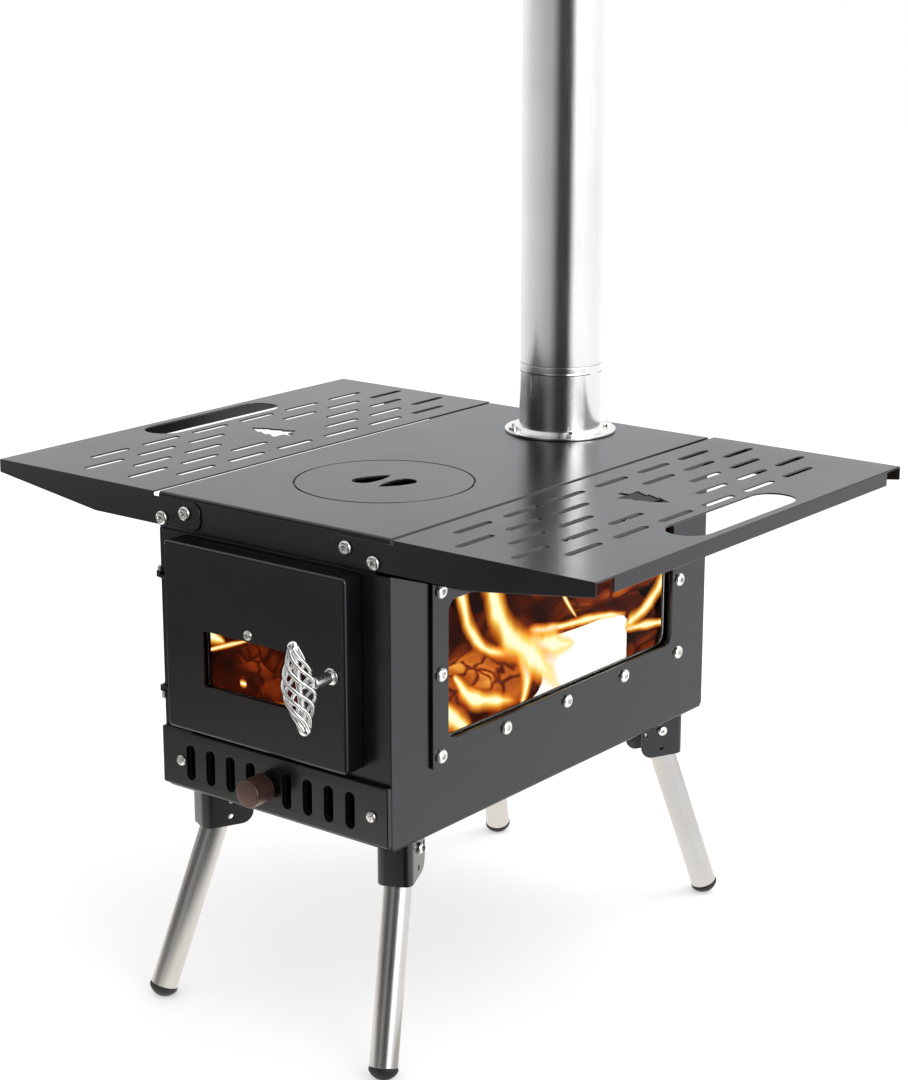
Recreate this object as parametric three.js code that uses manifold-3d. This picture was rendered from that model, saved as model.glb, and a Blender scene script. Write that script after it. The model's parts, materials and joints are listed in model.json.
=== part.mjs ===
/**
 * Tent wood stove: a folded sheet-steel firebox on four splayed folding legs, with a glazed door,
 * an air slide, a side window, two fold-up shelves, a cooking lid and a lift-off flue pipe.
 *
 * Millimetres. +X is the stove's right as seen from the door, +Y goes from the door to the back,
 * +Z is up. The floor is z = 0 and the origin is the middle of the footprint.
 */
import * as THREE from 'three';
import { mergeVertices } from 'three/addons/utils/BufferGeometryUtils.js';
import Module from 'manifold-3d';

const wasm = await Module();
wasm.setup();

// ---------------------------------------------------------------- driving dimensions
const GAP = 0.3; // clearance between two pieces that touch
const SHEET = 2; // sheet steel of the body, the top and the shelves
const BODY = { width: 200, depth: 368, height: 209, frontRise: 2.5, ledge: 12 };
const SKIRT_DROP = 24; // how far the top plate folds down at the front and the back
const LID = { radius: 60.9, ring: 1.2, y: 115.4, thick: 2, seatIn: 9, seatOut: 8, seatThick: 2 };
const LID_HOLE = { length: 31, round: 7.8, offset: 10.6, lean: 13 };
const FLUE = {
  inset: 48, radius: 30.5, wall: 1.2, collarHeight: 52, flangeRim: 10.7, flangeThick: 1.8, fillet: 1.5,
  pipeStep: 0.4, pipeLength: 320, spigot: 22, screwOut: 5, screwTurn: 48,
};
const BOLT = { head: 4.9, rise: 2.8, shank: 2.4, socket: 1.6, socketDeep: 1.6, reach: 3 };
const SCREW = { head: 3.8, rise: 2.2, shank: 1.8, reach: 2.5 };
const SHELF = {
  sheet: 1.2, seam: 3.5, width: 152, lip: 10.5, lipInset: 19, outerDrop: 9.5, innerDrop: 22.5, taperEnd: 60,
  earTop: 3.2, earEnd: 13, earRound: 7, pivotDrop: 11, stopDrop: 17,
};
// Where each shelf's bolts stand in from the body's edge, and how far its slots and hand hole lie back.
const SHELF_SIDE = {
  left: { pivotIn: 26, stopIn: 4.8, slotShift: 3.7, holeShift: 7.2 },
  right: { pivotIn: 34.2, stopIn: 11.5, slotShift: -1.6, holeShift: 0 },
};
const SLOT = { length: 36.7, width: 5, rowPitch: 21.2, firstRow: 23, pitch: 51.2, margin: 11, clear: 5 };
const GRIP_HOLE = { inset: 7.1, width: 31.1, length: 132 };
const TREE = { height: 40, width: 26, trunk: 5, clear: 4 };
const DOOR = { left: 19, right: 23.2, top: 26.6, above: 7.1, depth: 16.8, sheet: 1.6, backGap: 0.8 };
const DOOR_WINDOW = { width: 88, height: 38.3, drop: 10.8, glass: 4, lap: 6, topLap: 2.6, round: 3, boltShift: -2.8 };
const LINER = { inset: 2.4, thick: 2 };
const GASKET = { left: 8, right: 18, top: 7.5, bottom: 7.5, section: 5 };
const DOOR_OPENING_INSET = 2; // opening edge inside the gasket's inner edge
const HINGE = { x: 7.1, y: 7.5, upperIn: 27.4, lowerIn: 22.2, tab: 1.8, knuckle: 2.7, pin: 1.2 };
const PIN_HEAD = { radius: 1.9, upper: 3.2, lower: 5.4 };
const STEM = { inset: 10.8, shaft: 4, radius: 3, tip: 1.8, standOff: 31, collar: 5.6, collarThick: 2.4 };
const CAGE = { length: 61, radius: 10, end: 3, wire: 1.2, wires: 6, twist: 350, core: 2, bead: 4, lean: 9.1 };
const TONGUE = { length: 16, width: 5, thick: 3 };
const AIR = {
  bottom: 4.5, height: 41, depth: 4, slotLength: 25, slotWidth: 8, pitch: 18.3, slotDrop: 1, middle: -2.4, rib: 1,
  screwIn: 15.9, screwMiddle: 2.6, screwClear: 0.3, slideThick: 1.1, slideClear: 1.5, knobX: -2.8,
};
const KNOB = { radius: 9.7, length: 18, standOff: 3.5, stud: 2.5, tip: 2 };
const WINDOW = {
  front: 56, back: 48, top: 52.3, bottom: 62, border: 16.5, round: 8, frameRound: 3,
  glass: 4, glassLap: 9, seal: 1.6, sealLap: 4, clamp: 2, screwEdge: 8.2, columns: 5,
};
const GRATE = { lift: 30, margin: 8, slots: 9, slotWidth: 8, rib: 14 };
const BAFFLE = { drop: 30, side: 29.2, reach: 82 };
const LEG = {
  tube: 9.5, wall: 1.2, reach: 143.2, tilt: 19.9, splay: 25, pivotX: 20.6, pivotY: 34.1,
  pivotDrop: 10.5, above: 3.4, pin: 2, head: 3.9, headRise: 2.4, nut: 3.4,
};
const BRACKET = { sheet: 2, side: 0.6, bottom: 20.5, tail: 17, round: 6, heel: 9, detent: 2, detentAt: 14 };
const CAP = { lip: 0.4, rim: 2, domeOver: 1.1, plug: 10, flat: 0.5 };

const ROUND = { bolt: 8, coarse: 10, small: 14, medium: 20, large: 36 }; // facets in a turn

// ---------------------------------------------------------------- places that follow from them
const rad = THREE.MathUtils.degToRad;
const half = { x: BODY.width / 2, y: BODY.depth / 2 };
const tilt = rad(LEG.tilt);
const capRadius = LEG.tube + CAP.lip;
const dome = capRadius + CAP.domeOver; // radius of the cap's dome
const domeHeight = dome - Math.sqrt(dome ** 2 - capRadius ** 2);
const domeCentre = LEG.reach + CAP.rim + domeHeight - dome; // along the leg, from the pivot
const pivotHeight = domeCentre * Math.cos(tilt) + dome - CAP.flat;
const underside = pivotHeight + LEG.pivotDrop;
const TOP = underside + BODY.height; // the cooking surface above the floor
const below = (drop) => TOP - drop;
const back = BODY.depth;
const flue = {
  y: back - FLUE.inset, flange: FLUE.radius + FLUE.flangeRim, pipe: FLUE.radius - FLUE.pipeStep,
  screws: FLUE.radius + FLUE.screwOut,
};
const panel = { bottom: underside + AIR.bottom, top: underside + AIR.bottom + AIR.height };
panel.z = (panel.bottom + panel.top) / 2;
const door = {
  left: -half.x + DOOR.left, right: half.x - DOOR.right,
  top: below(DOOR.top), bottom: panel.top + DOOR.above, face: -DOOR.depth,
};
door.x = (door.left + door.right) / 2;
door.z = (door.top + door.bottom) / 2;
door.width = door.right - door.left;
door.height = door.top - door.bottom;
const doorWindow = { x: door.x, z: door.z - DOOR_WINDOW.drop };
const stem = { x: door.right - STEM.inset, z: door.z, gripY: door.face - STEM.standOff };
const hinge = { x: -half.x + HINGE.x, y: -HINGE.y };
const air = {
  z: panel.z - AIR.slotDrop, travel: AIR.slotWidth + 2 * GAP,
  screws: [-1, 1].map((side) => AIR.screwMiddle + side * (half.x - AIR.screwIn)),
  slideHeight: AIR.height - 2 * (SHEET + AIR.slotDrop + AIR.slideClear),
};
// The slots stand on both sides of the knob's run, as many as there is room for up to the panel's screws.
const slotGap = AIR.knobX - AIR.middle + air.travel + KNOB.stud + GAP + AIR.slotWidth / 2 + AIR.rib;
const slotRoom = AIR.middle - air.screws[0] - SCREW.head - AIR.screwClear - AIR.slotWidth / 2 - slotGap;
const perSide = Math.max(1, Math.floor(slotRoom / AIR.pitch) + 1);
const slotHalfSpan = slotGap + (perSide - 1) * AIR.pitch;
const airSlots = Array.from({ length: 2 * perSide }, (_, i) =>
  AIR.middle + (i < perSide ? -slotHalfSpan + i * AIR.pitch : slotGap + (i - perSide) * AIR.pitch));
const shelfBolts = Object.fromEntries(Object.entries(SHELF_SIDE).map(([name, { pivotIn, stopIn }]) => [name, {
  pivot: { x: half.x - pivotIn, z: below(SHELF.pivotDrop) },
  stop: { x: half.x - stopIn, z: below(SHELF.stopDrop) },
}]));
const sides = [['left', -1], ['right', 1]];
const shelfInner = half.x + SHELF.seam;
const shelfOuter = shelfInner + SHELF.width;
const flangeFace = -(GAP + SHELF.sheet); // front face of a shelf's front flange

// ---------------------------------------------------------------- finishes
const finish = (color, roughness, metalness, extra = {}) =>
  new THREE.MeshStandardMaterial({ color, roughness, metalness, ...extra });
const BLACK = finish(0x26272a, 0.55, 0.3);
const STAINLESS = finish(0xc9c6c0, 0.3, 1);
const CHROME = finish(0xd8d8da, 0.15, 1);
const RUBBER = finish(0x121212, 0.9, 0);
const BRONZE = finish(0x5b4038, 0.4, 0.7);
const ROPE = finish(0xb9b4a6, 0.95, 0);
const GLASS = finish(0xe8eef0, 0.05, 0, { transparent: true, opacity: 0.35 });

// ---------------------------------------------------------------- solids
/** A closed three.js geometry as a manifold solid. */
function solid(geometry) {
  const bare = geometry.clone();
  bare.deleteAttribute('normal');
  bare.deleteAttribute('uv');
  const merged = mergeVertices(bare, 1e-4);
  return new wasm.Manifold(new wasm.Mesh({
    numProp: 3,
    vertProperties: new Float32Array(merged.attributes.position.array),
    triVerts: new Uint32Array(merged.index.array),
  }));
}

/** A manifold solid as a three.js geometry. */
function geometryOf(manifold) {
  const { numProp, vertProperties, triVerts } = manifold.getMesh();
  const geometry = new THREE.BufferGeometry();
  const position = new THREE.InterleavedBufferAttribute(
    new THREE.InterleavedBuffer(vertProperties, numProp), 3, 0);
  const points = new Float32Array(position.count * 3);
  for (let i = 0; i < position.count; i++) {
    points.set([position.getX(i), position.getY(i), position.getZ(i)], i * 3);
  }
  geometry.setAttribute('position', new THREE.BufferAttribute(points, 3));
  geometry.setIndex(new THREE.BufferAttribute(triVerts, 1));
  return geometry;
}

const join = (...parts) => geometryOf(parts.map(solid).reduce((a, b) => a.add(b)));
const cut = (body, ...tools) => geometryOf(tools.map(solid).reduce((a, b) => a.subtract(b), solid(body)));
const common = (a, b) => geometryOf(solid(a).intersect(solid(b)));

/** The same geometry on the other side of the x = 0 plane, with its faces turned out again. */
function mirrored(geometry) {
  const copy = (geometry.index ? geometry : mergeVertices(geometry)).clone().scale(-1, 1, 1);
  const index = copy.index.array;
  for (let i = 0; i < index.length; i += 3) {
    [index[i], index[i + 1]] = [index[i + 1], index[i]];
  }
  return copy;
}

/** A box from its low and high corners. */
function block([x0, y0, z0], [x1, y1, z1]) {
  return new THREE.BoxGeometry(x1 - x0, y1 - y0, z1 - z0)
    .translate((x0 + x1) / 2, (y0 + y1) / 2, (z0 + z1) / 2);
}

/** An outline extruded along +Z, from z0, by depth. */
function slabZ(shape, z0, depth, curveSegments = 3) {
  return new THREE.ExtrudeGeometry(shape, { depth, bevelEnabled: false, curveSegments })
    .translate(0, 0, z0);
}

/** An outline drawn in X and Z, extruded along Y from y0. */
function slabY(shape, y0, depth, curveSegments = 3) {
  return slabZ(shape, 0, depth, curveSegments).rotateX(Math.PI / 2).translate(0, y0 + depth, 0);
}

/** An outline drawn in Y and Z, extruded along X from x0. */
function slabX(shape, x0, depth, curveSegments = 3) {
  const turn = new THREE.Matrix4().makeBasis(
    new THREE.Vector3(0, 1, 0), new THREE.Vector3(0, 0, 1), new THREE.Vector3(1, 0, 0));
  return slabZ(shape, 0, depth, curveSegments).applyMatrix4(turn).translate(x0, 0, 0);
}

/** A rectangle about a centre, with round corners where round is over 0. */
function rectangle(x, y, width, height, round = 0, Kind = THREE.Shape) {
  const [w, h] = [width / 2, height / 2];
  const r = Math.min(round, w, h);
  const outline = new Kind();
  if (r <= 0) {
    outline.moveTo(x - w, y - h).lineTo(x + w, y - h).lineTo(x + w, y + h).lineTo(x - w, y + h);
    outline.closePath();
    return outline;
  }
  outline.moveTo(x - w + r, y - h);
  outline.lineTo(x + w - r, y - h);
  outline.absarc(x + w - r, y - h + r, r, -Math.PI / 2, 0);
  outline.lineTo(x + w, y + h - r);
  outline.absarc(x + w - r, y + h - r, r, 0, Math.PI / 2);
  outline.lineTo(x - w + r, y + h);
  outline.absarc(x - w + r, y + h - r, r, Math.PI / 2, Math.PI);
  outline.lineTo(x - w, y - h + r);
  outline.absarc(x - w + r, y - h + r, r, Math.PI, 1.5 * Math.PI);
  return outline;
}
const hole = (x, y, width, height, round) => rectangle(x, y, width, height, round, THREE.Path);

/** A slot with half-round ends, long along its outline's second axis. */
function slotHole(x, y, width, length, Kind = THREE.Path) {
  const [r, reach] = [width / 2, (length - width) / 2];
  const outline = new Kind();
  outline.moveTo(x - r, y - reach);
  outline.absarc(x, y - reach, r, -Math.PI, 0);
  outline.absarc(x, y + reach, r, 0, Math.PI);
  return outline;
}

/** An outline with holes in it. */
function withHoles(outline, ...holes) {
  outline.holes.push(...holes);
  return outline;
}

/** A cylinder along X, Y or Z between two places on that axis. */
function rod(axis, radius, from, to, [a, b], facets = ROUND.small) {
  const bar = new THREE.CylinderGeometry(radius, radius, to - from, facets);
  if (axis === 'x') return bar.rotateZ(-Math.PI / 2).translate((from + to) / 2, a, b);
  if (axis === 'y') return bar.translate(a, (from + to) / 2, b);
  return bar.rotateX(Math.PI / 2).translate(a, b, (from + to) / 2);
}

/** A profile of [radius, height] points turned about Z. */
function turned(profile, facets) {
  const points = [...profile, profile[0]].map(([r, z]) => new THREE.Vector2(r, z));
  return new THREE.LatheGeometry(points, facets).rotateX(Math.PI / 2);
}

/** A button-head bolt along -Z: head up, its seat at z = 0, with a hexagon socket. */
function buttonBolt({ head, rise, shank, socket, socketDeep }, length, facets = ROUND.bolt) {
  const profile = [[0, -length], [shank, -length], [shank, 0], [head, 0], [head * 0.8, rise * 0.7],
    [head * 0.5, rise], [0, rise]];
  const key = rod('z', socket, rise - socketDeep, rise + 1, [0, 0], 6);
  return cut(turned(profile, facets), key);
}

/** Turns a bolt made along -Z so that its head looks along a direction, with its seat at a point. */
function aimed(geometry, [x, y, z], direction) {
  const turn = new THREE.Quaternion().setFromUnitVectors(
    new THREE.Vector3(0, 0, 1), new THREE.Vector3(...direction).normalize());
  return geometry.clone().applyQuaternion(turn).translate(x, y, z);
}

const stove = new THREE.Group();
function add(name, geometry, material, parent = stove) {
  const mesh = new THREE.Mesh(geometry, material);
  mesh.name = name;
  parent.add(mesh);
  return mesh;
}

// ---------------------------------------------------------------- body
/** Left wall, floor and right wall folded from one sheet, with a ledge under the top plate. */
function fireboxShell() {
  const [x, low, high] = [half.x, underside, below(SHEET + GAP)];
  const fold = new THREE.Shape();
  fold.moveTo(-x, low).lineTo(x, low).lineTo(x, high).lineTo(x - BODY.ledge, high);
  fold.lineTo(x - BODY.ledge, high - SHEET).lineTo(x - SHEET, high - SHEET);
  fold.lineTo(x - SHEET, low + SHEET).lineTo(-x + SHEET, low + SHEET);
  fold.lineTo(-x + SHEET, high - SHEET).lineTo(-x + BODY.ledge, high - SHEET);
  fold.lineTo(-x + BODY.ledge, high).lineTo(-x, high).closePath();
  const wrap = slabY(fold, SHEET + GAP, back - 2 * (SHEET + GAP));
  const opening = sideOutline(WINDOW.sealLap, WINDOW.round);
  const screws = windowScrewPlaces().map(([y, z]) => rod('x', SCREW.shank + GAP, x - SHEET - 1, x + 1, [y, z], 8));
  return cut(wrap, slabX(opening, x - SHEET - 1, SHEET + 2), ...screws);
}

/** The plate around the door, with its opening, latch slot, air slots and two hinge tabs. */
function frontPlate() {
  const [low, high] = [underside + BODY.frontRise, below(SKIRT_DROP + GAP)];
  const outline = rectangle(0, (low + high) / 2, BODY.width, high - low);
  const opening = gasketOutline(GASKET.section + DOOR_OPENING_INSET, THREE.Path, 4);
  const latch = hole(stem.x, stem.z, TONGUE.width + 3, TONGUE.length + 3, 0);
  const slots = airSlots.map((x) => slotHole(x, air.z, AIR.slotWidth, AIR.slotLength));
  const screws = air.screws.map((x) => hole(x, air.z, 2 * (SCREW.shank + GAP), 2 * (SCREW.shank + GAP)));
  const plate = slabY(withHoles(outline, opening, latch, ...slots, ...screws), 0, SHEET);
  const { upper, lower } = hingeTabs();
  return join(plate, hingeTab(upper.fixed, 0), hingeTab(lower.fixed, 0));
}

/** Heights of the four hinge tabs: the door hangs on the lower fixed one. */
function hingeTabs() {
  const [u, l] = [door.top - HINGE.upperIn, door.bottom + HINGE.lowerIn];
  return {
    upper: { fixed: u + GAP / 2, door: u - GAP / 2 - HINGE.tab },
    lower: { fixed: l - GAP / 2 - HINGE.tab, door: l + GAP / 2 },
  };
}

/** A round-ended tab with a pin hole, from the hinge axis back to the plate or across to the door. */
function hingeTab(z, toX) {
  const r = HINGE.knuckle;
  const arm = toX
    ? block([hinge.x, hinge.y - r, z], [toX, hinge.y + r, z + HINGE.tab])
    : block([hinge.x - r, hinge.y, z], [hinge.x + r, SHEET / 2, z + HINGE.tab]);
  const end = rod('z', r, z, z + HINGE.tab, [hinge.x, hinge.y], ROUND.small);
  const bore = rod('z', HINGE.pin + GAP, z - 1, z + HINGE.tab + 1, [hinge.x, hinge.y], ROUND.small);
  return cut(join(arm, end), bore);
}

function hingePin({ fixed, door: doorTab }, headLength, headUp) {
  const [low, high] = [Math.min(fixed, doorTab), Math.max(fixed, doorTab) + HINGE.tab];
  const at = [hinge.x, hinge.y];
  const head = headUp
    ? rod('z', PIN_HEAD.radius, high + GAP, high + GAP + headLength, at, ROUND.coarse)
    : rod('z', PIN_HEAD.radius, low - GAP - headLength, low - GAP, at, ROUND.coarse);
  return join(head, rod('z', HINGE.pin, low - GAP - 1, high + GAP + 1, at, ROUND.coarse));
}

function backPlate() {
  const [low, high] = [underside + BODY.frontRise, below(SKIRT_DROP + GAP)];
  return slabY(rectangle(0, (low + high) / 2, BODY.width, high - low), back - SHEET, SHEET);
}

/** The cooking plate with a front and a back skirt, the lid's hole and the flue's hole. */
function topPlate() {
  const round = (y, r) => {
    const path = new THREE.Path();
    path.absarc(0, y, r, 0, 2 * Math.PI);
    return path;
  };
  const outline = rectangle(0, half.y, BODY.width, BODY.depth);
  const lidHole = round(LID.y, LID.radius + LID.ring);
  const flueHole = round(flue.y, FLUE.radius - FLUE.wall);
  const plate = slabZ(withHoles(outline, lidHole, flueHole), below(SHEET), SHEET, 10);
  const skirt = (y) => block([-half.x, y, below(SKIRT_DROP)], [half.x, y + SHEET, below(SHEET / 2)]);
  const bolts = sides.flatMap(([name, side]) => Object.values(shelfBolts[name]).map(({ x, z }) =>
    rod('y', BOLT.shank + GAP, -1, back + 1, [side * x, z], ROUND.coarse)));
  const screws = flangeScrewPlaces().map(([x, y]) =>
    rod('z', SCREW.shank + GAP, below(SHEET + 1), TOP + 1, [x, y], 8));
  return cut(join(plate, skirt(0), skirt(back - SHEET)), ...bolts, ...screws);
}

/** A flat ring under the top plate that the lid rests on. */
function lidSeat() {
  const [inner, outer] = [LID.radius - LID.seatIn, LID.radius + LID.ring + LID.seatOut];
  const high = below(LID.thick + GAP);
  const low = high - LID.seatThick;
  return turned([[inner, low], [outer, low], [outer, high], [inner, high]], ROUND.large)
    .translate(0, LID.y, 0);
}

/** A leaf-shaped hole, one end round and one pointed, along Y about the origin. */
function leaf() {
  const [r, l] = [LID_HOLE.round, LID_HOLE.length / 2];
  const shape = new THREE.Shape();
  shape.moveTo(0, l);
  shape.quadraticCurveTo(-r, l * 0.3, -r, -l + r);
  shape.absarc(0, -l + r, r, Math.PI, 2 * Math.PI);
  shape.quadraticCurveTo(r, l * 0.3, 0, l);
  return shape;
}

function cookingLid() {
  const low = below(LID.thick);
  const disc = rod('z', LID.radius, low, TOP, [0, LID.y], ROUND.large);
  const holes = [0, 1].map((turn) => slabZ(leaf(), low - 1, LID.thick + 2, 5)
    .rotateZ(-rad(LID_HOLE.lean)).translate(-LID_HOLE.offset, 0, 0)
    .rotateZ(turn * Math.PI).translate(0, LID.y, 0));
  return cut(disc, ...holes);
}

/** A slotted floor for the fire on two folded-down sides. */
function fireGrate() {
  const x = half.x - SHEET - GRATE.margin;
  const [y0, y1] = [SHEET + GRATE.margin, back - SHEET - GRATE.margin];
  const [low, high] = [underside + SHEET + GAP, underside + SHEET + GRATE.lift];
  const plate = block([-x, y0, high - SHEET], [x, y1, high]);
  const side = (s) => block([s > 0 ? x - SHEET : -x, y0, low], [s > 0 ? x : -x + SHEET, y1, high]);
  const step = (y1 - y0) / GRATE.slots;
  const slots = Array.from({ length: GRATE.slots }, (_, i) => {
    const y = y0 + (i + 0.5) * step;
    return block([-x + GRATE.rib, y - GRATE.slotWidth / 2, high - SHEET - 1],
      [x - GRATE.rib, y + GRATE.slotWidth / 2, high + 1]);
  });
  return cut(join(plate, side(-1), side(1)), ...slots);
}

/** A plate under the flue, hung from the top plate by its turned-up sides. */
function smokeBaffle() {
  const x = half.x - BAFFLE.side;
  const [low, high] = [below(BAFFLE.drop), below(SHEET + GAP)];
  const [y0, y1] = [flue.y - BAFFLE.reach, back - SHEET - GAP];
  return join(
    block([-x, y0, low], [x, y1, low + SHEET]),
    block([-x, y0, low], [-x + SHEET, y1, high]),
    block([x - SHEET, y0, low], [x, y1, high]));
}

// ---------------------------------------------------------------- side window
const sight = {
  front: WINDOW.front, back: back - WINDOW.back, top: below(WINDOW.top), bottom: underside + WINDOW.bottom,
};

/** The side window's opening, grown by a lap on every side, in Y and Z. */
function sideOutline(lap, round, Kind = THREE.Shape) {
  return rectangle((sight.front + sight.back) / 2, (sight.top + sight.bottom) / 2,
    sight.back - sight.front + 2 * lap, sight.top - sight.bottom + 2 * lap, round, Kind);
}

/** Screws along the top and the bottom of the side frame, and one in the middle of each end. */
function windowScrewPlaces() {
  const reach = WINDOW.border - WINDOW.screwEdge;
  const [y0, y1] = [sight.front - reach, sight.back + reach];
  const [z0, z1] = [sight.bottom - reach, sight.top + reach];
  const rows = Array.from({ length: WINDOW.columns }, (_, i) => y0 + (i * (y1 - y0)) / (WINDOW.columns - 1));
  const middle = (z0 + z1) / 2;
  return [...rows.map((y) => [y, z1]), ...rows.map((y) => [y, z0]), [y0, middle], [y1, middle]];
}

const frameInner = half.x + GAP; // the frame's inner face, against the wall
const glassOuter = half.x - SHEET - GAP;
const clampOuter = glassOuter - WINDOW.glass - GAP;

function windowFrame() {
  const plate = slabX(withHoles(sideOutline(WINDOW.border, WINDOW.frameRound),
    sideOutline(0, WINDOW.round, THREE.Path)), frameInner, SHEET);
  const screws = windowScrewPlaces().map(([y, z]) =>
    rod('x', SCREW.shank + GAP, frameInner - 1, frameInner + SHEET + 1, [y, z], 8));
  return cut(plate, ...screws);
}

/** The seal fills the wall's opening between the frame and the glass. */
function windowSeal() {
  const outer = sideOutline(WINDOW.sealLap - GAP, WINDOW.round);
  const inner = sideOutline(1, WINDOW.round, THREE.Path);
  return slabX(withHoles(outer, inner), half.x - SHEET, WINDOW.seal);
}

const windowGlass = () => slabX(sideOutline(WINDOW.glassLap - WINDOW.glass, 0),
  glassOuter - WINDOW.glass, WINDOW.glass);

/** The inner clamping frame, joined to the twelve screws that draw it to the outer frame. */
function windowClamp() {
  const lap = WINDOW.border - WINDOW.screwEdge + SCREW.head;
  const frame = slabX(withHoles(sideOutline(lap, 0), sideOutline(1, 0, THREE.Path)),
    clampOuter - WINDOW.clamp, WINDOW.clamp);
  const seat = frameInner + SHEET + GAP;
  const length = seat - clampOuter + WINDOW.clamp / 2;
  const bolt = buttonBolt({ ...BOLT, shank: SCREW.shank }, length);
  return join(frame, ...windowScrewPlaces().map(([y, z]) => aimed(bolt, [seat, y, z], [1, 0, 0])));
}

// ---------------------------------------------------------------- flue
function flangeScrewPlaces() {
  return [0, 1, 2, 3].map((i) => {
    const angle = rad(FLUE.screwTurn + 90 * i);
    return [flue.screws * Math.cos(angle), flue.y + flue.screws * Math.sin(angle)];
  });
}

function flueCollar() {
  const [low, high] = [TOP + GAP, TOP + FLUE.collarHeight];
  const bore = FLUE.radius - FLUE.wall;
  const seat = low + FLUE.flangeThick;
  const ring = turned([[bore, low], [flue.flange, low], [flue.flange, seat], [FLUE.radius + FLUE.fillet, seat],
    [FLUE.radius, seat + FLUE.fillet], [FLUE.radius, high], [bore, high]], ROUND.large)
    .translate(0, flue.y, 0);
  return cut(ring, ...flangeScrewPlaces().map(([x, y]) =>
    rod('z', SCREW.shank + GAP, low - 1, seat + 1, [x, y], 8)));
}

/** The first pipe section: its narrowed end stands in the collar, its shoulder on the collar's rim. */
function fluePipe() {
  const shoulder = TOP + FLUE.collarHeight + GAP;
  const spigot = FLUE.radius - FLUE.wall - GAP;
  const [low, high] = [shoulder - FLUE.spigot, shoulder + FLUE.pipeLength];
  const bore = flue.pipe - FLUE.wall;
  const throat = spigot - FLUE.wall;
  return turned([[throat, low], [spigot, low], [spigot, shoulder], [flue.pipe, shoulder],
    [flue.pipe, high], [bore, high], [bore, shoulder + FLUE.wall], [throat, shoulder]], ROUND.large)
    .translate(0, flue.y, 0);
}

// ---------------------------------------------------------------- door
/** The gasket's outer edge, drawn inside the door's outline and shrunk by an inset. */
function gasketOutline(inset, Kind = THREE.Shape, round = 6) {
  const left = door.left + GASKET.left + inset;
  const right = door.right - GASKET.right - inset;
  const [low, high] = [door.bottom + GASKET.bottom + inset, door.top - GASKET.top - inset];
  return rectangle((left + right) / 2, (low + high) / 2, right - left, high - low, round, Kind);
}

/** The door window's outline, grown by a lap, in X and Z. */
function glassOutline(lap, round, Kind = THREE.Shape) {
  return rectangle(doorWindow.x, doorWindow.z, DOOR_WINDOW.width + 2 * lap,
    DOOR_WINDOW.height + 2 * lap, round, Kind);
}

const boltPlace = {
  x: doorWindow.x + DOOR_WINDOW.boltShift,
  z: doorWindow.z + DOOR_WINDOW.height / 2 + DOOR_WINDOW.topLap + SCREW.shank + 2 * GAP,
};
const glassFront = door.face + DOOR.sheet + GAP;
const clampFront = glassFront + DOOR_WINDOW.glass + GAP;
const linerFront = clampFront + DOOR.sheet + GAP;
const gasketFront = linerFront + LINER.thick + GAP;

/** The door's outer pan, open at the back, with two hinge tabs. */
function doorShell() {
  const s = DOOR.sheet;
  const pan = slabY(rectangle(door.x, door.z, door.width, door.height, 3), door.face, DOOR.depth - DOOR.backGap);
  const inside = slabY(rectangle(door.x, door.z, door.width - 2 * s, door.height - 2 * s, 1.5),
    door.face + s, DOOR.depth);
  const window = slabY(glassOutline(0, DOOR_WINDOW.round), door.face - 1, s + 2);
  const stemBore = rod('y', STEM.radius + GAP, door.face - 1, door.face + s + 1, [stem.x, stem.z]);
  const boltBore = rod('y', SCREW.shank + GAP, door.face - 1, door.face + s + 1, [boltPlace.x, boltPlace.z], 8);
  const { upper, lower } = hingeTabs();
  const reach = door.left + s / 2;
  return join(cut(pan, inside, window, stemBore, boltBore), hingeTab(upper.door, reach), hingeTab(lower.door, reach));
}

/** Flat glass behind the door's front, short of the bolt above it. */
function doorGlass() {
  const [x, z] = [doorWindow.x, doorWindow.z];
  const [w, h] = [DOOR_WINDOW.width / 2 + DOOR_WINDOW.lap, DOOR_WINDOW.height / 2];
  return block([x - w, glassFront, z - h - DOOR_WINDOW.lap],
    [x + w, glassFront + DOOR_WINDOW.glass, z + h + DOOR_WINDOW.topLap]);
}

/** The frame that presses the glass to the door. */
function doorGlassClamp() {
  const plate = slabY(withHoles(glassOutline(DOOR_WINDOW.lap + 4, 0), glassOutline(1, DOOR_WINDOW.round, THREE.Path)),
    clampFront, DOOR.sheet);
  return cut(plate, rod('y', SCREW.shank + GAP, clampFront - 1, clampFront + DOOR.sheet + 1, [boltPlace.x, boltPlace.z], 8));
}

function doorGlassBolt() {
  const length = linerFront - door.face - GAP;
  const bolt = buttonBolt({ ...BOLT, head: 3.4, rise: 2.2, shank: SCREW.shank, socket: 1.2 }, length);
  return aimed(bolt, [boltPlace.x, door.face - GAP, boltPlace.z], [0, -1, 0]);
}

/** The heat shield that closes the door's back. */
function doorLiner() {
  const outline = rectangle(door.x, door.z, door.width - 2 * LINER.inset, door.height - 2 * LINER.inset, 2);
  const plate = slabY(withHoles(outline, glassOutline(2, DOOR_WINDOW.round, THREE.Path)), linerFront, LINER.thick);
  return cut(plate, rod('y', STEM.radius + GAP, linerFront - 1, linerFront + LINER.thick + 1, [stem.x, stem.z]));
}

const doorGasket = () => slabY(withHoles(gasketOutline(0), gasketOutline(GASKET.section, THREE.Path, 3)),
  gasketFront, -GAP - gasketFront);

// ---------------------------------------------------------------- door handle and latch
const tongueFront = SHEET + 2 * GAP;

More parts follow.
